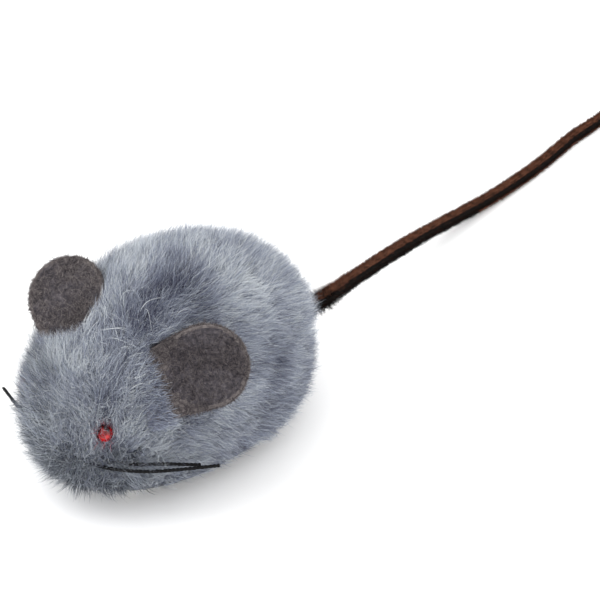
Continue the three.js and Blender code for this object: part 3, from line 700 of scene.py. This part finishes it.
def grow(roots, lengths, lift_root, lift_tip, rng, wobble):
    """Centre lines of strands that rise from their roots and bend over along the flow: strand, level, xyz."""
    normals = egg_normal(roots, SKIN_DEPTH)
    flow = strand_flow(roots, normals)
    tucked = np.clip((0.017 - roots[:, 2]) / 0.012, 0, 1) * np.clip((roots[:, 1] + 0.030) / 0.020, 0, 1)
    lengths = lengths * (0.95 + 0.12 * normals[:, 2]) * (1 - 0.45 * tucked)
    lines = np.zeros((len(roots), LEVELS, 3))
    lines[:, 0] = roots
    jitter = rng.normal(0, wobble, (len(roots), 3))
    for level in range(1, LEVELS):
        share = level / (LEVELS - 1)
        lift = lift_root + (lift_tip - lift_root) * share**0.7
        bend = rng.normal(0, wobble * 0.4, (len(roots), 3))
        step = unit(normals * lift[:, None] + flow * (1 - lift)[:, None] + jitter * (0.5 + share) + bend)
        lines[:, level] = lines[:, level - 1] + step * (lengths / (LEVELS - 1))[:, None]
    return lines, normals


def nearest(points, centres):
    """The index of the nearest centre to each point."""
    tree = kdtree.KDTree(len(centres))
    for index, centre in enumerate(centres):
        tree.insert(centre, index)
    tree.balance()
    return np.array([tree.find(point)[1] for point in points])


def clump(lines, guides, power, strength):
    """Draws each strand towards the shape of its nearest guide, more towards the tip."""
    owner = nearest(lines[:, 0], guides[:, 0])
    target = guides[owner] + 0.35 * (lines[:, :1] - guides[owner][:, :1])
    pull = strength[:, None, None] * np.linspace(0, 1, LEVELS)[None, :, None] ** power
    return lines + (target - lines) * pull, owner


def shorten(lines, blocked):
    """Shortens each strand so that it ends before its first blocked point."""
    levels = lines.shape[1]
    first = np.where(blocked.any(axis=1), np.argmax(blocked, axis=1), levels)
    share = np.clip((first - 0.6) / (levels - 1), 0.08, 1)[:, None, None]
    return np.where(first[:, None, None] < levels, lines[:, :1] + (lines - lines[:, :1]) * share, lines)


def clear_ears(lines, rng):
    """Fur behind an ear stays behind it; fur in front of it covers only its root."""
    for ear in EARS:
        run, width, depth = ear.coordinates(lines)
        over = ear.covers(run, width, 0.0008)
        seated = over[:, :1] & (run[:, :1] > SEAT_RUN) & (np.abs(depth[:, :1]) < SEAT_DEPTH)
        behind = (depth[:, :1] < 0) | seated
        push = np.where(over & behind & (run > 0.002), np.maximum(depth + BEHIND_EAR, 0), 0)
        lines = lines - push[..., None] * ear.facing
        bare = ear.bare_from + rng.uniform(-0.0020, 0.0020, (len(lines), 1))
        lines = shorten(lines, over & ~behind & (run > bare) & (np.abs(depth) < 0.012))
    return lines


# How many of the strands near each bead are left to cross it.
EYES = {"eye_bead_left": 0.14, "eye_bead_right": 0.30}
EYE_CLEARING = 0.0018
LACE_CLEARING = 0.0030


def node_middle(name):
    low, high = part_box(name)
    return (np.array(low) + np.array(high)) / 2


def eye_axis(middle):
    """The way a bead looks: outwards from the head and a little up."""
    return unit(egg_normal(middle[None])[0] + [0, 0, 0.45])


def clear_eyes(lines, rng):
    """Keeps most fur off the front of the beads, but lets a few strands cross them."""
    for name, crossing in EYES.items():
        middle = node_middle(name)
        axis = eye_axis(middle)
        offset = lines - middle
        ahead = offset @ axis
        aside = np.linalg.norm(offset - ahead[..., None] * axis, axis=-1)
        blocked = (aside < EYE_CLEARING) & (ahead > -0.0010)
        blocked &= rng.uniform(0, 1, (len(lines), 1)) > crossing
        lines = shorten(lines, blocked)
    return lines


def clear_tail(lines):
    """Fur lies against the lace where it comes out of the rump, but doesn't run along it."""
    from_lace = np.hypot(lines[..., 0] - TAIL_EXIT[0], lines[..., 2] - TAIL_EXIT[2])
    at_rump = lines[..., 1] > HALF_LENGTH - 0.0030
    return shorten(lines, (from_lace < LACE_CLEARING) & at_rump)


def keep_clear(lines, rng):
    """Keeps strands out of the key's well, off the ears, eyes and tail, and above the wheels' treads."""
    from_axis = lines[..., 1:] - KEY_AXIS
    distance = np.linalg.norm(from_axis, axis=-1, keepdims=True)
    inside = (lines[..., :1] < KEY_SIDE_X) & (distance < KEY_WELL)
    out = KEY_AXIS + from_axis / np.maximum(distance, 1e-6) * KEY_WELL
    lines[..., 1:] = np.where(inside, out, lines[..., 1:])
    lines = clear_tail(clear_eyes(clear_ears(lines, rng), rng))
    lines = shorten(lines, lines[..., 2] < LOWEST_FUR + rng.uniform(0, 0.0012, (len(lines), 1)))
    lines[..., 2] = np.maximum(lines[..., 2], LOWEST_FUR)
    return lines


def painted_shade_and_light_tone(points):
    """How much paler or darker the coat is painted around each point, as painted light and painted shade."""
    tone = np.zeros(points.shape[:-1])
    for middle, radius, change in SHADE_AND_LIGHT_PATCHES:
        away = np.linalg.norm(points * 1000 - middle, axis=-1) / radius
        tone += change * np.exp(-(away**2))
    return tone


def coat_tones(lines, owner_tone, rng):
    """Dark roots and pale tips, with broad patches, painted shade and painted light in places, and painted
    shade low on the body.
    """
    shares = np.linspace(0, 1, lines.shape[1])[None, :]
    roots = lines[:, 0]
    broad = 0.12 * smooth_noise(roots, 80, 5) + 0.10 * smooth_noise(roots, 200, 6)
    own = rng.normal(0, 0.15, len(lines)) + broad + owner_tone
    # Painted shade: strands low on the body are darker, as under its curve.
    low = np.clip((0.020 - lines[..., 2]) / 0.016, 0, 1) * 0.10
    return np.clip(0.09 + 0.60 * shares**0.8 + own[:, None] + painted_shade_and_light_tone(lines) - low, 0, PALEST)


def add_in_parts(name, parts, lines, normals, widths, tones, rng):
    """Fur as several pieces, from the nose to the rump, so that none of them is too large."""
    for index, chosen in enumerate(np.array_split(np.argsort(lines[:, 0, 1]), parts)):
        strand_mesh(
            f"{name}_{index + 1}", lines[chosen], normals[chosen], widths[chosen], tones[chosen], rng,
            FUR_SHADES,
        )


def add_coat_fur():
    strands, fine_clumps, big_clumps, parts = 150000, 7000, 700, 6
    rng = np.random.default_rng(11)
    big, _ = grow(
        scatter_roots(big_clumps, rng), rng.normal(0.0094, 0.0010, big_clumps),
        rng.uniform(0.50, 0.90, big_clumps), rng.uniform(0.00, 0.40, big_clumps), rng, 0.30,
    )
    fine, _ = grow(
        scatter_roots(fine_clumps, rng), rng.normal(0.0088, 0.0012, fine_clumps),
        rng.uniform(0.50, 0.90, fine_clumps), rng.uniform(0.05, 0.40, fine_clumps), rng, 0.26,
    )
    fine, big_owner = clump(fine, big, 1.2, rng.uniform(0.25, 0.80, fine_clumps))
    lines, normals = grow(
        settle_behind_ears(scatter_roots(strands, rng), BEHIND_EAR), rng.normal(0.0087, 0.0014, strands),
        rng.uniform(0.45, 0.95, strands), rng.uniform(0.05, 0.45, strands), rng, 0.22,
    )
    lines, owner = clump(lines, fine, 1.1, rng.uniform(0.20, 0.90, strands))
    lines = keep_clear(lines, rng)
    clump_tone = rng.normal(0, 0.095, fine_clumps) + rng.normal(0, 0.085, big_clumps)[big_owner]
    tones = coat_tones(lines, clump_tone[owner], rng)
    widths = rng.uniform(0.00009, 0.00017, strands)
    add_in_parts("fur", parts, lines, normals, widths, tones, rng)


def add_fuzz():
    """Thin pale hairs that stand out of the coat and soften its outline."""
    count, parts = 48000, 2
    rng = np.random.default_rng(12)
    roots = scatter_roots(count, rng, 0.0026)
    lines, normals = grow(
        roots, rng.uniform(0.0028, 0.0062, count), rng.uniform(0.40, 1.0, count),
        rng.uniform(0.15, 0.75, count), rng, 0.34,
    )
    lines = keep_clear(lines, rng)
    tones = 0.66 + 0.24 * np.linspace(0, 1, LEVELS) + rng.normal(0, 0.09, (count, 1))
    # Painted shade and painted light from the coat's patches, at half strength.
    tones = np.clip(tones + 0.5 * painted_shade_and_light_tone(lines), 0, PALEST)
    widths = rng.uniform(0.00004, 0.00008, count)
    add_in_parts("fur_fuzz", parts, lines, normals, widths, tones, rng)


def add_strays():
    """A few long pale hairs that curl loose over the crown."""
    count, levels = 46, 12
    rng = np.random.default_rng(13)
    roots = scatter_roots(9000, rng, 0.0015)
    near = np.linalg.norm(roots - [0.012, -0.0195, 0.043], axis=1) < 0.009
    elsewhere = rng.uniform(0, 1, len(roots)) < 0.004
    roots = roots[near | elsewhere][:count]
    normals = egg_normal(roots)
    heading = unit(strand_flow(roots, normals) + rng.normal(0, 0.9, roots.shape))
    lines = np.zeros((len(roots), levels, 3))
    lines[:, 0] = roots
    turn = rng.normal(0, 0.22, (len(roots), 3))
    for level in range(1, levels):
        turn += rng.normal(0, 0.10, turn.shape)
        above = np.sum((lines[:, level - 1] - roots) * normals, axis=1, keepdims=True)
        heading = unit(heading + turn * 0.5 + normals * (0.0014 - above) * 160)
        lines[:, level] = lines[:, level - 1] + heading * rng.uniform(0.0006, 0.0009, (len(roots), 1))
    lines = keep_clear(lines, rng)
    tones = np.full(lines.shape[:2], 0.90)
    widths = rng.uniform(0.00008, 0.00012, len(roots))
    strand_mesh("fur_strays", lines, normals, widths, tones, rng, FUR_SHADES)


def add_ear_tufts(ear, seed):
    """Tufts of the coat that lie over an ear's root."""
    count = 1300
    rng = np.random.default_rng(seed)
    run = rng.uniform(-0.1, 1, count) * (ear.bare_from - 0.0008)
    spread = rng.uniform(-1.15, 1.15, count)
    width = spread * ear.half_width(np.maximum(run, 0))
    height = ear.thickness / 2 + rng.uniform(0.0001, 0.0014, count)
    roots = ear.point(run, width, ear.cup(run, width) + height)
    sway = 0.5 * smooth_noise(roots, 300, seed)
    heading = unit(
        ear.along + (sway + 0.35 * spread)[:, None] * ear.across
        + rng.uniform(0.1, 0.5, (count, 1)) * ear.facing + rng.normal(0, 0.20, (count, 3))
    )
    lengths = rng.uniform(0.0010, 0.0034, count)
    lines = np.zeros((count, LEVELS, 3))
    lines[:, 0] = roots
    for level in range(1, LEVELS):
        heading = unit(heading + rng.normal(0, 0.16, (count, 3)) - 0.07 * ear.facing)
        lines[:, level] = lines[:, level - 1] + heading * (lengths / (LEVELS - 1))[:, None]
    tones = 0.22 + 0.42 * np.linspace(0, 1, LEVELS) + rng.normal(0, 0.12, (count, 1))
    # Painted shade and painted light from the coat's patches.
    tones = np.clip(tones + 0.7 * painted_shade_and_light_tone(lines), 0, PALEST)
    normals = unit(ear.facing + egg_normal(roots))
    widths = rng.uniform(0.00007, 0.00013, count)
    strand_mesh(f"{ear.name}_tufts", lines, normals, widths, tones, rng, FUR_SHADES)


def add_skin():
    """The cloth that the fur grows from: an egg open underneath, with a hole for the key."""
    rings, sides = 56, 84
    turns = np.linspace(0, math.pi, rings + 1)[1:-1]
    arounds = np.linspace(-math.pi, math.pi, sides, endpoint=False)
    grid = outside_shell(egg_point(turns[:, None], arounds[None, :], SKIN_DEPTH))
    grid = settle_behind_ears(grid, BEHIND_EAR + 0.0012)
    verts = grid.reshape(-1, 3).tolist()
    faces = grid_faces(len(turns), sides, wrap_columns=True)
    nose, rump = len(verts), len(verts) + 1
    verts += egg_point(np.array([0.0, math.pi]), np.array([0.0, 0.0]), SKIN_DEPTH).tolist()
    last = (len(turns) - 1) * sides
    for side in range(sides):
        after = (side + 1) % sides
        faces += [(nose, after, side), (rump, last + side, last + after)]

    def outside_well(face):
        middle = np.mean([verts[i] for i in face], axis=0)
        return middle[0] > 0 or math.hypot(middle[1] - KEY_AXIS[0], middle[2] - KEY_AXIS[1]) > KEY_WELL

    skin = new_piece("coat_cloth", verts, [f for f in faces if outside_well(f)], [CLOTH], "chassis")
    with editing(skin.data) as form:
        bmesh.ops.bisect_plane(
            form, geom=[*form.verts, *form.edges, *form.faces], plane_co=(0, 0, SKIN_RIM_Z),
            plane_no=(0, 0, 1), clear_inner=True,
        )
    thick = skin.modifiers.new("thickness", "SOLIDIFY")
    thick.thickness, thick.offset = 0.0008, -1
    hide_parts("fur_coat")


def add_hem():
    """The rolled edge under the coat, which holds it to the shell."""
    around = np.linspace(0, 2 * math.pi, 120, endpoint=False)
    height = (SKIN_RIM_Z - CENTRE[2]) / (HALF_HEIGHT - SKIN_DEPTH)
    reach = math.sqrt(1 - height**2)
    along = reach * np.sin(around)
    centre = outside_shell(CENTRE + np.stack([
        (HALF_WIDTH - SKIN_DEPTH - 0.0004) * reach * np.cos(around) * fullness(along),
        (HALF_LENGTH - SKIN_DEPTH - 0.0004) * along,
        np.full(len(around), SKIN_RIM_Z - CENTRE[2]),
    ], axis=-1))
    centre[:, 2] = SKIN_RIM_Z
    outwards = unit(centre * [1, 1, 0])
    minor = 0.0010 + 0.00012 * np.sin(around * 40)
    turns = np.linspace(0, 2 * math.pi, 10, endpoint=False)
    rings = (centre[:, None] + minor[:, None, None] * (
        np.cos(turns)[None, :, None] * outwards[:, None] + np.sin(turns)[None, :, None] * np.array([0, 0, 1])
    ))
    faces = grid_faces(*rings.shape[:2], wrap_rows=True, wrap_columns=True)
    new_piece("coat_hem", rings.reshape(-1, 3), faces, [CLOTH], "chassis")


add_skin()
add_hem()
add_coat_fur()
add_fuzz()
add_strays()
for ear_index, tufted_ear in enumerate(EARS):
    add_ear_tufts(tufted_ear, 51 + ear_index)

# ---------------------------------------------------------------- felt ears

EAR_ROWS, EAR_COLUMNS = 34, 26
WORN_RIM = 0.91  # beyond this share of its radius a disc's face is worn pale


def add_ear(ear, seed):
    """A cut piece of felt with soft faces and a paler cut edge, slightly cupped."""
    share = np.linspace(0, 1, EAR_ROWS)
    run = ear.length * np.sin(share * math.pi / 2) ** 0.9
    run[-1] = ear.length - 0.00002
    width = np.linspace(-1, 1, EAR_COLUMNS)[None, :] * ear.half_width(run)[:, None]
    run = np.repeat(run[:, None], EAR_COLUMNS, axis=1)
    flat = ear.point(run, width, 0 * run)
    waves = 0.00035 * smooth_noise(flat.reshape(-1, 3), 130, seed).reshape(run.shape)
    dents = 0.00010 * smooth_noise(flat.reshape(-1, 3), 900, seed + 1).reshape(run.shape)
    verts = ear.point(run, width, ear.cup(run, width) + waves + dents).reshape(-1, 3)
    faces = grid_faces(EAR_ROWS, EAR_COLUMNS)
    worn = np.hypot((run - ear.centre) / ear.radius, width / ear.radius) > WORN_RIM
    slots = (worn[:-1, :-1] & worn[1:, 1:]).astype(int).ravel()
    piece = new_piece(
        f"{ear.name}_felt", verts, faces, [FELT, FELT_EDGE], "chassis", face_slots=slots
    )
    thick = piece.modifiers.new("thickness", "SOLIDIFY")
    thick.thickness, thick.offset, thick.material_offset_rim = ear.thickness, 0, 1
    soft = piece.modifiers.new("soft_edge", "BEVEL")
    soft.width, soft.segments, soft.limit_method, soft.angle_limit = 0.00022, 2, "ANGLE", math.radians(50)
    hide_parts(ear.name)
    add_ear_nap(ear, seed)


def add_ear_nap(ear, seed):
    """Short matted fibres over both faces, and a loose fringe along the cut edge."""
    rng = np.random.default_rng(seed)
    count, fringe, levels = 9000, 2600, 4
    run = rng.uniform(0.002, ear.length, count * 2)
    width = rng.uniform(-ear.radius, ear.radius, count * 2)
    kept = np.flatnonzero(ear.covers(run, width, 0))[:count]
    run, width = run[kept], width[kept]
    face = np.where(rng.uniform(0, 1, len(run)) < 0.6, 1.0, -1.0)
    depth = ear.cup(run, width) + face * (ear.thickness / 2 - 0.00002)
    roots = ear.point(run, width, depth)
    normals = face[:, None] * ear.facing[None]
    angle = rng.uniform(-math.pi * 0.42, math.pi * 0.42, fringe) * 1.9
    edge_run = ear.centre + ear.radius * np.cos(angle) * 0.995
    edge_width = np.sign(angle) * ear.half_width(edge_run) * 0.995
    edge_depth = ear.cup(edge_run, edge_width) + rng.uniform(-0.5, 0.5, fringe) * ear.thickness
    edge_roots = ear.point(edge_run, edge_width, edge_depth)
    edge_normals = unit(
        (edge_run - ear.centre)[:, None] * ear.along + edge_width[:, None] * ear.across + 0 * edge_roots
    )
    roots = np.concatenate([roots, edge_roots])
    normals = np.concatenate([normals, edge_normals])
    total = len(roots)
    lift = np.concatenate([rng.uniform(0.02, 0.22, len(run)), rng.uniform(0.2, 0.9, fringe)])[:, None]
    sideways = rng.normal(0, 1, (total, 3))
    sideways -= normals * np.sum(sideways * normals, axis=1, keepdims=True)
    heading = unit(normals * lift + unit(sideways) * (1 - lift))
    lengths = np.concatenate([rng.uniform(0.0008, 0.0022, len(run)), rng.uniform(0.0002, 0.0007, fringe)])
    lines = np.zeros((total, levels, 3))
    lines[:, 0] = roots
    for level in range(1, levels):
        heading = unit(heading + rng.normal(0, 0.25, (total, 3)) - normals * 0.04)
        lines[:, level] = lines[:, level - 1] + heading * (lengths / (levels - 1))[:, None]
    # Painted shade and painted light: the nap's palest tone differs from ear to ear.
    tone = np.concatenate([rng.uniform(0.0, ear.palest_as_lit, len(run)), rng.uniform(0.35, 0.95, fringe)])
    tones = np.clip(one_tone(tone, levels), 0, PALEST)
    widths = rng.uniform(0.00006, 0.00011, total)
    strand_mesh(f"{ear.name}_nap", lines, normals, widths, tones, rng, NAP_SHADES)


for ear_seed, one_ear in enumerate(EARS):
    add_ear(one_ear, 31 + 5 * ear_seed)

# ---------------------------------------------------------------- eyes


def add_eye(name):
    """A faceted bead: a flat table in front, two belts of facets round it and a dark drilled hole."""
    low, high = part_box(name)
    middle = node_middle(name)
    radius = (high.z - low.z) / 2
    axis = eye_axis(middle)
    latitudes = np.radians([-74, -48, -16, 16, 48, 66])
    profile = [(math.sin(angle) * radius, math.cos(angle) * radius) for angle in latitudes]
    hole = [(profile[-1][0], 0.00042), (profile[-1][0] - 0.0004, 0.00036)]
    verts, faces = revolve(profile + hole, 9, middle, axis, closed=False)
    bead = new_piece(f"{name}_cut", verts, faces, [BEAD], "chassis", smooth=False)
    edge = bead.modifiers.new("facet_edges", "BEVEL")
    edge.width, edge.segments = 0.00006, 1
    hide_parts(name)
    add_eye_fibres(name, middle, axis)


# Painted reflected light: the bead's red cast on the fibres round it.
EYE_BOUNCE_SHADES = shade_set(
    "eye_fibre", [(0.0, (70, 12, 20)), (1.0, (158, 96, 106))], 3, 0.7, Specular_IOR_Level=0.2
)


def add_eye_fibres(name, middle, axis):
    """Fibres round the bead, tinted with painted red light bounced off it, and a few that lie across it."""
    count, levels = 110, 4
    rng = np.random.default_rng(61)
    first = unit(np.cross(axis, [0.13, 0.21, 1.0]))
    second = np.cross(axis, first)
    angle = rng.uniform(0, 2 * math.pi, count)
    spoke = np.cos(angle)[:, None] * first + np.sin(angle)[:, None] * second
    roots = middle + spoke * rng.uniform(0.0016, 0.0024, (count, 1))
    roots = roots + axis * rng.uniform(0.0004, 0.0016, (count, 1))
    inwards = np.where(rng.uniform(0, 1, (count, 1)) < 0.2, -1.0, 0.8)
    heading = unit(
        spoke * inwards + axis * rng.uniform(0.2, 0.8, (count, 1)) + rng.normal(0, 0.4, (count, 3))
    )
    lines = straight_strands(roots, heading, rng.uniform(0.0008, 0.0022, count), levels)
    lines += rng.normal(0, 0.00008, lines.shape)
    tones = one_tone(rng.uniform(0, 0.99, count), levels)
    widths = rng.uniform(0.00006, 0.00011, count)
    strand_mesh(f"{name}_fibres", lines, np.tile(axis, (count, 1)), widths, tones, rng, EYE_BOUNCE_SHADES)


for eye in EYES:
    add_eye(eye)

# ---------------------------------------------------------------- whiskers

# The threads' routes in the CAD model, in metres: from the left tip, through the muzzle, to the right tip.
WHISKER_ROUTES = {
    "whisker_thread_lower": np.array([
        (28.6, -13.3, 15.3), (24.5, -19.5, 15.4), (19.6, -26.9, 16), (14.5, -33, 17.4), (7, -34.6, 16.5),
        (-0.5, -35, 15.9), (-7.5, -34.7, 16.2), (-14.2, -33.1, 16.1), (-20.6, -31.1, 14.9),
        (-28.1, -28.8, 14),
    ]) / 1000,
    "whisker_thread_upper": np.array([
        (25.3, -15.9, 15), (21.1, -22.1, 16.3), (16.8, -28.6, 17.5), (9.7, -33.3, 18.5),
        (0.8, -35, 18.5), (-8.4, -33.9, 18), (-16.2, -30.3, 17.2), (-23, -25, 16.4), (-27.6, -20.5, 15.4),
    ]) / 1000,
}
THREAD_RADIUS = 0.00042
THREAD_PITCH = 0.0018  # how far one ply takes to go once round the other
PLY_SIDES = 8


def add_whisker(name, route):
    """Two plies twisted into a thread, each with a little unevenness."""
    verts, faces = [], []
    points = curve_points(route, 300)
    length = np.linalg.norm(np.diff(points, axis=0), axis=1).sum()
    _, across, upwards = path_frame(points)
    twist = np.linspace(0, 2 * math.pi * length / THREAD_PITCH, len(points))[:, None]
    turns = np.linspace(0, 2 * math.pi, PLY_SIDES, endpoint=False)
    for ply in range(2):
        angle = twist + math.pi * ply
        centre = points + THREAD_RADIUS * 0.46 * (np.cos(angle) * across + np.sin(angle) * upwards)
        size = THREAD_RADIUS * 0.58 * (1 + 0.08 * smooth_noise(points, 900, 41 + ply))
        size[[0, -1]] *= 0.55
        section = size[:, None, None] * np.stack([np.cos(turns), np.sin(turns)], axis=-1)[None]
        ply_verts, ply_faces = sweep(centre, section)
        start = len(verts)
        verts.extend(ply_verts.tolist())
        faces.extend([tuple(start + corner for corner in face) for face in ply_faces])
    thread = new_piece(f"{name}_twist", verts, faces, [THREAD], "chassis")
    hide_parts(name)


for whisker, whisker_route in WHISKER_ROUTES.items():
    add_whisker(whisker, whisker_route)

# ---------------------------------------------------------------- key, eyelet and wheels


def add_key():
    """A stamped brass key: a two-lobed bow with rolled edges on a turned hub."""
    lobe, offset, hole, waist, thickness = 0.0037, 0.0039, 0.0016, 0.55, 0.0016
    edge = 0.00035
    data = bpy.data.curves.new("winding_key_bow", "CURVE")
    data.dimensions, data.fill_mode = "2D", "BOTH"
    data.extrude, data.bevel_depth, data.bevel_resolution = thickness / 2 - edge, edge, 3

    def add_outline(points):
        spline = data.splines.new("POLY")
        spline.points.add(len(points) - 1)
        for target, (x, y) in zip(spline.points, points):
            target.co = (x, y, 0, 1)
        spline.use_cyclic_u = True

    sweep_angles = np.linspace(-math.pi / 2 + waist, math.pi * 1.5 - waist, 40)
    reach = lobe - edge
    half = [(reach * math.cos(a), offset + reach * math.sin(a)) for a in sweep_angles]
    add_outline(half + [(-x, -y) for x, y in half])
    circle = np.linspace(0, 2 * math.pi, 28, endpoint=False)
    cut = hole + edge
    for side in (1, -1):
        add_outline([(cut * math.cos(a), side * offset + cut * math.sin(a)) for a in circle])
    bow = bpy.data.objects.new("winding_key_bow", data)
    bpy.context.collection.objects.link(bow)
    bpy.context.view_layer.update()
    flat = bpy.data.meshes.new_from_object(bow.evaluated_get(bpy.context.evaluated_depsgraph_get()))
    bpy.data.objects.remove(bow)
    flat.transform(Matrix.Translation((KEY_LOW.x + lobe, *KEY_AXIS)))
    with editing(flat) as form:
        bmesh.ops.remove_doubles(form, verts=form.verts, dist=1e-7)
    flat.materials.clear()
    flat.shade_smooth()
    piece = link_piece("winding_key_bow", flat, [FINISHES["brass"]], "winder")
    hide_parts("winding_key")

    hub_near, hub_tip, hub = KEY_HIGH.x, KEY_LOW.x + 0.003, 0.0024
    profile = [
        (hub_tip, 0.0002), (hub_tip, hub - 0.0008), (hub_tip + 0.0004, hub - 0.0003), (hub_tip + 0.0010, hub),
        (hub_near - 0.0034, hub), (hub_near - 0.0030, hub - 0.0004), (hub_near - 0.0022, hub - 0.0004),
        (hub_near - 0.0018, hub), (hub_near - 0.0003, hub), (hub_near, hub - 0.0003), (hub_near, 0.0017),
        (hub_near - 0.0040, 0.0017), (hub_near - 0.0042, 0.0002),
    ]
    verts, faces = revolve(profile, 40, (0, *KEY_AXIS), (1, 0, 0))
    new_piece("winding_key_hub", verts, faces, [FINISHES["brass"]], "winder", smooth=False)


def add_key_eyelet():
    """The plastic ring round the key's hole, which holds the cloth's edge down."""
    seat = -(HALF_WIDTH - SKIN_DEPTH) * 0.955
    profile = [
        (seat + 0.0012, 0.0070), (seat - 0.0003, 0.0069), (seat - 0.0009, 0.0073), (seat - 0.0011, 0.0080),
        (seat - 0.0007, 0.0087), (seat + 0.0001, 0.0090), (seat + 0.0012, 0.0089),
    ]
    verts, faces = revolve(profile, 64, (0, *KEY_AXIS), (1, 0, 0))
    new_piece("key_eyelet", verts, faces, [FINISHES["dark_plastic"]], "chassis")


def wheel_profile(width, bore, rim, recess):
    """Half a wheel's section, from the bore out to the rim and back, with both faces dished."""
    boss, web = bore + 0.0012, rim - 0.0009
    face = [(0, bore), (0, boss), (recess, boss + 0.0004), (recess, web - 0.0004), (0, web)]
    shoulder = [(0, rim - 0.0002), (0.0002, rim)]
    near = face + shoulder
    return near + [(width - along, radius) for along, radius in reversed(near)]


def tyre_profile(width, inner, outer):
    near = [(0, inner), (0, outer - 0.0007), (0.0002, outer - 0.0003), (0.0007, outer)]
    return near + [(width - along, radius) for along, radius in reversed(near)]


def tread(radius, side):
    """Cross grooves in a tyre's running surface."""
    return np.where((radius > radius.max() - 0.0001) & (side % 4 == 0), radius - 0.0004, radius)


def add_wheel(node, body, finish, profile_of, sides, shape=None):
    low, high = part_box(node)
    centre = (low + high) / 2
    profile = profile_of(high.x - low.x, (high.z - low.z) / 2)
    verts, faces = revolve(profile, sides, (low.x, centre.y, centre.z), (1, 0, 0), shape=shape)
    piece = new_piece(f"{node}_turned", verts, faces, [FINISHES[finish]], body, smooth=False)
    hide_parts(node)


AXLE_BORE = 0.0011
RIM_GAP = 0.0003
for word in ("left", "right"):
    rim_low, rim_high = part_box(f"drive_wheel_{word}")
    drive_rim = (rim_high.z - rim_low.z) / 2
    add_wheel(
        f"drive_wheel_{word}", "drive_axle_set", "white_plastic",
        lambda width, rim: wheel_profile(width, AXLE_BORE, rim, 0.0009), 60,
    )
    add_wheel(
        f"drive_tyre_{word}", "drive_axle_set", "rubber",
        lambda width, outer: tyre_profile(width, drive_rim + RIM_GAP, outer), 96, tread,
    )
    add_wheel(
        f"front_wheel_{word}", "front_axle_set", "white_plastic",
        lambda width, rim: wheel_profile(width, AXLE_BORE, rim, 0.0007), 56,
    )
add_key()
add_key_eyelet()

# ---------------------------------------------------------------- floor and light


FLOOR_REACH = 3.0
FLOOR_TONE = 0.97
SKY_STRENGTH = 1.42


def add_floor():
    mesh = bpy.data.meshes.new("floor")
    corners = [(x * FLOOR_REACH, y * FLOOR_REACH, 0) for x, y in ((-1, -1), (1, -1), (1, 1), (-1, 1))]
    mesh.from_pydata(corners, [], [(0, 1, 2, 3)])
    floor = bpy.data.objects.new("floor", mesh)
    bpy.context.collection.objects.link(floor)
    material = new_material("floor", 0.9, Base_Color=(FLOOR_TONE,) * 3 + (1,), Specular_IOR_Level=0.1)
    mesh.materials.append(material)


def add_area_light(name, location, size, power):
    data = bpy.data.lights.new(name, "AREA")
    data.size, data.energy = size, power
    light = bpy.data.objects.new(name, data)
    light.location = location
    light.rotation_euler = (BODY_MIDDLE - Vector(location)).to_track_quat("-Z", "Y").to_euler()
    bpy.context.collection.objects.link(light)


def add_lights():
    world = bpy.context.scene.world or bpy.data.worlds.new("world")
    bpy.context.scene.world = world
    world.use_nodes = True
    background = world.node_tree.nodes["Background"]
    background.inputs["Color"].default_value = (1, 1, 1, 1)
    background.inputs["Strength"].default_value = SKY_STRENGTH
    add_area_light("key_light", (-0.25, -0.35, 0.75), 0.6, 2.2)
    add_area_light("fill_light", (0.6, -0.2, 0.4), 0.5, 0.8)


bpy.context.scene.view_settings.view_transform = "Standard"
add_floor()
add_lights()
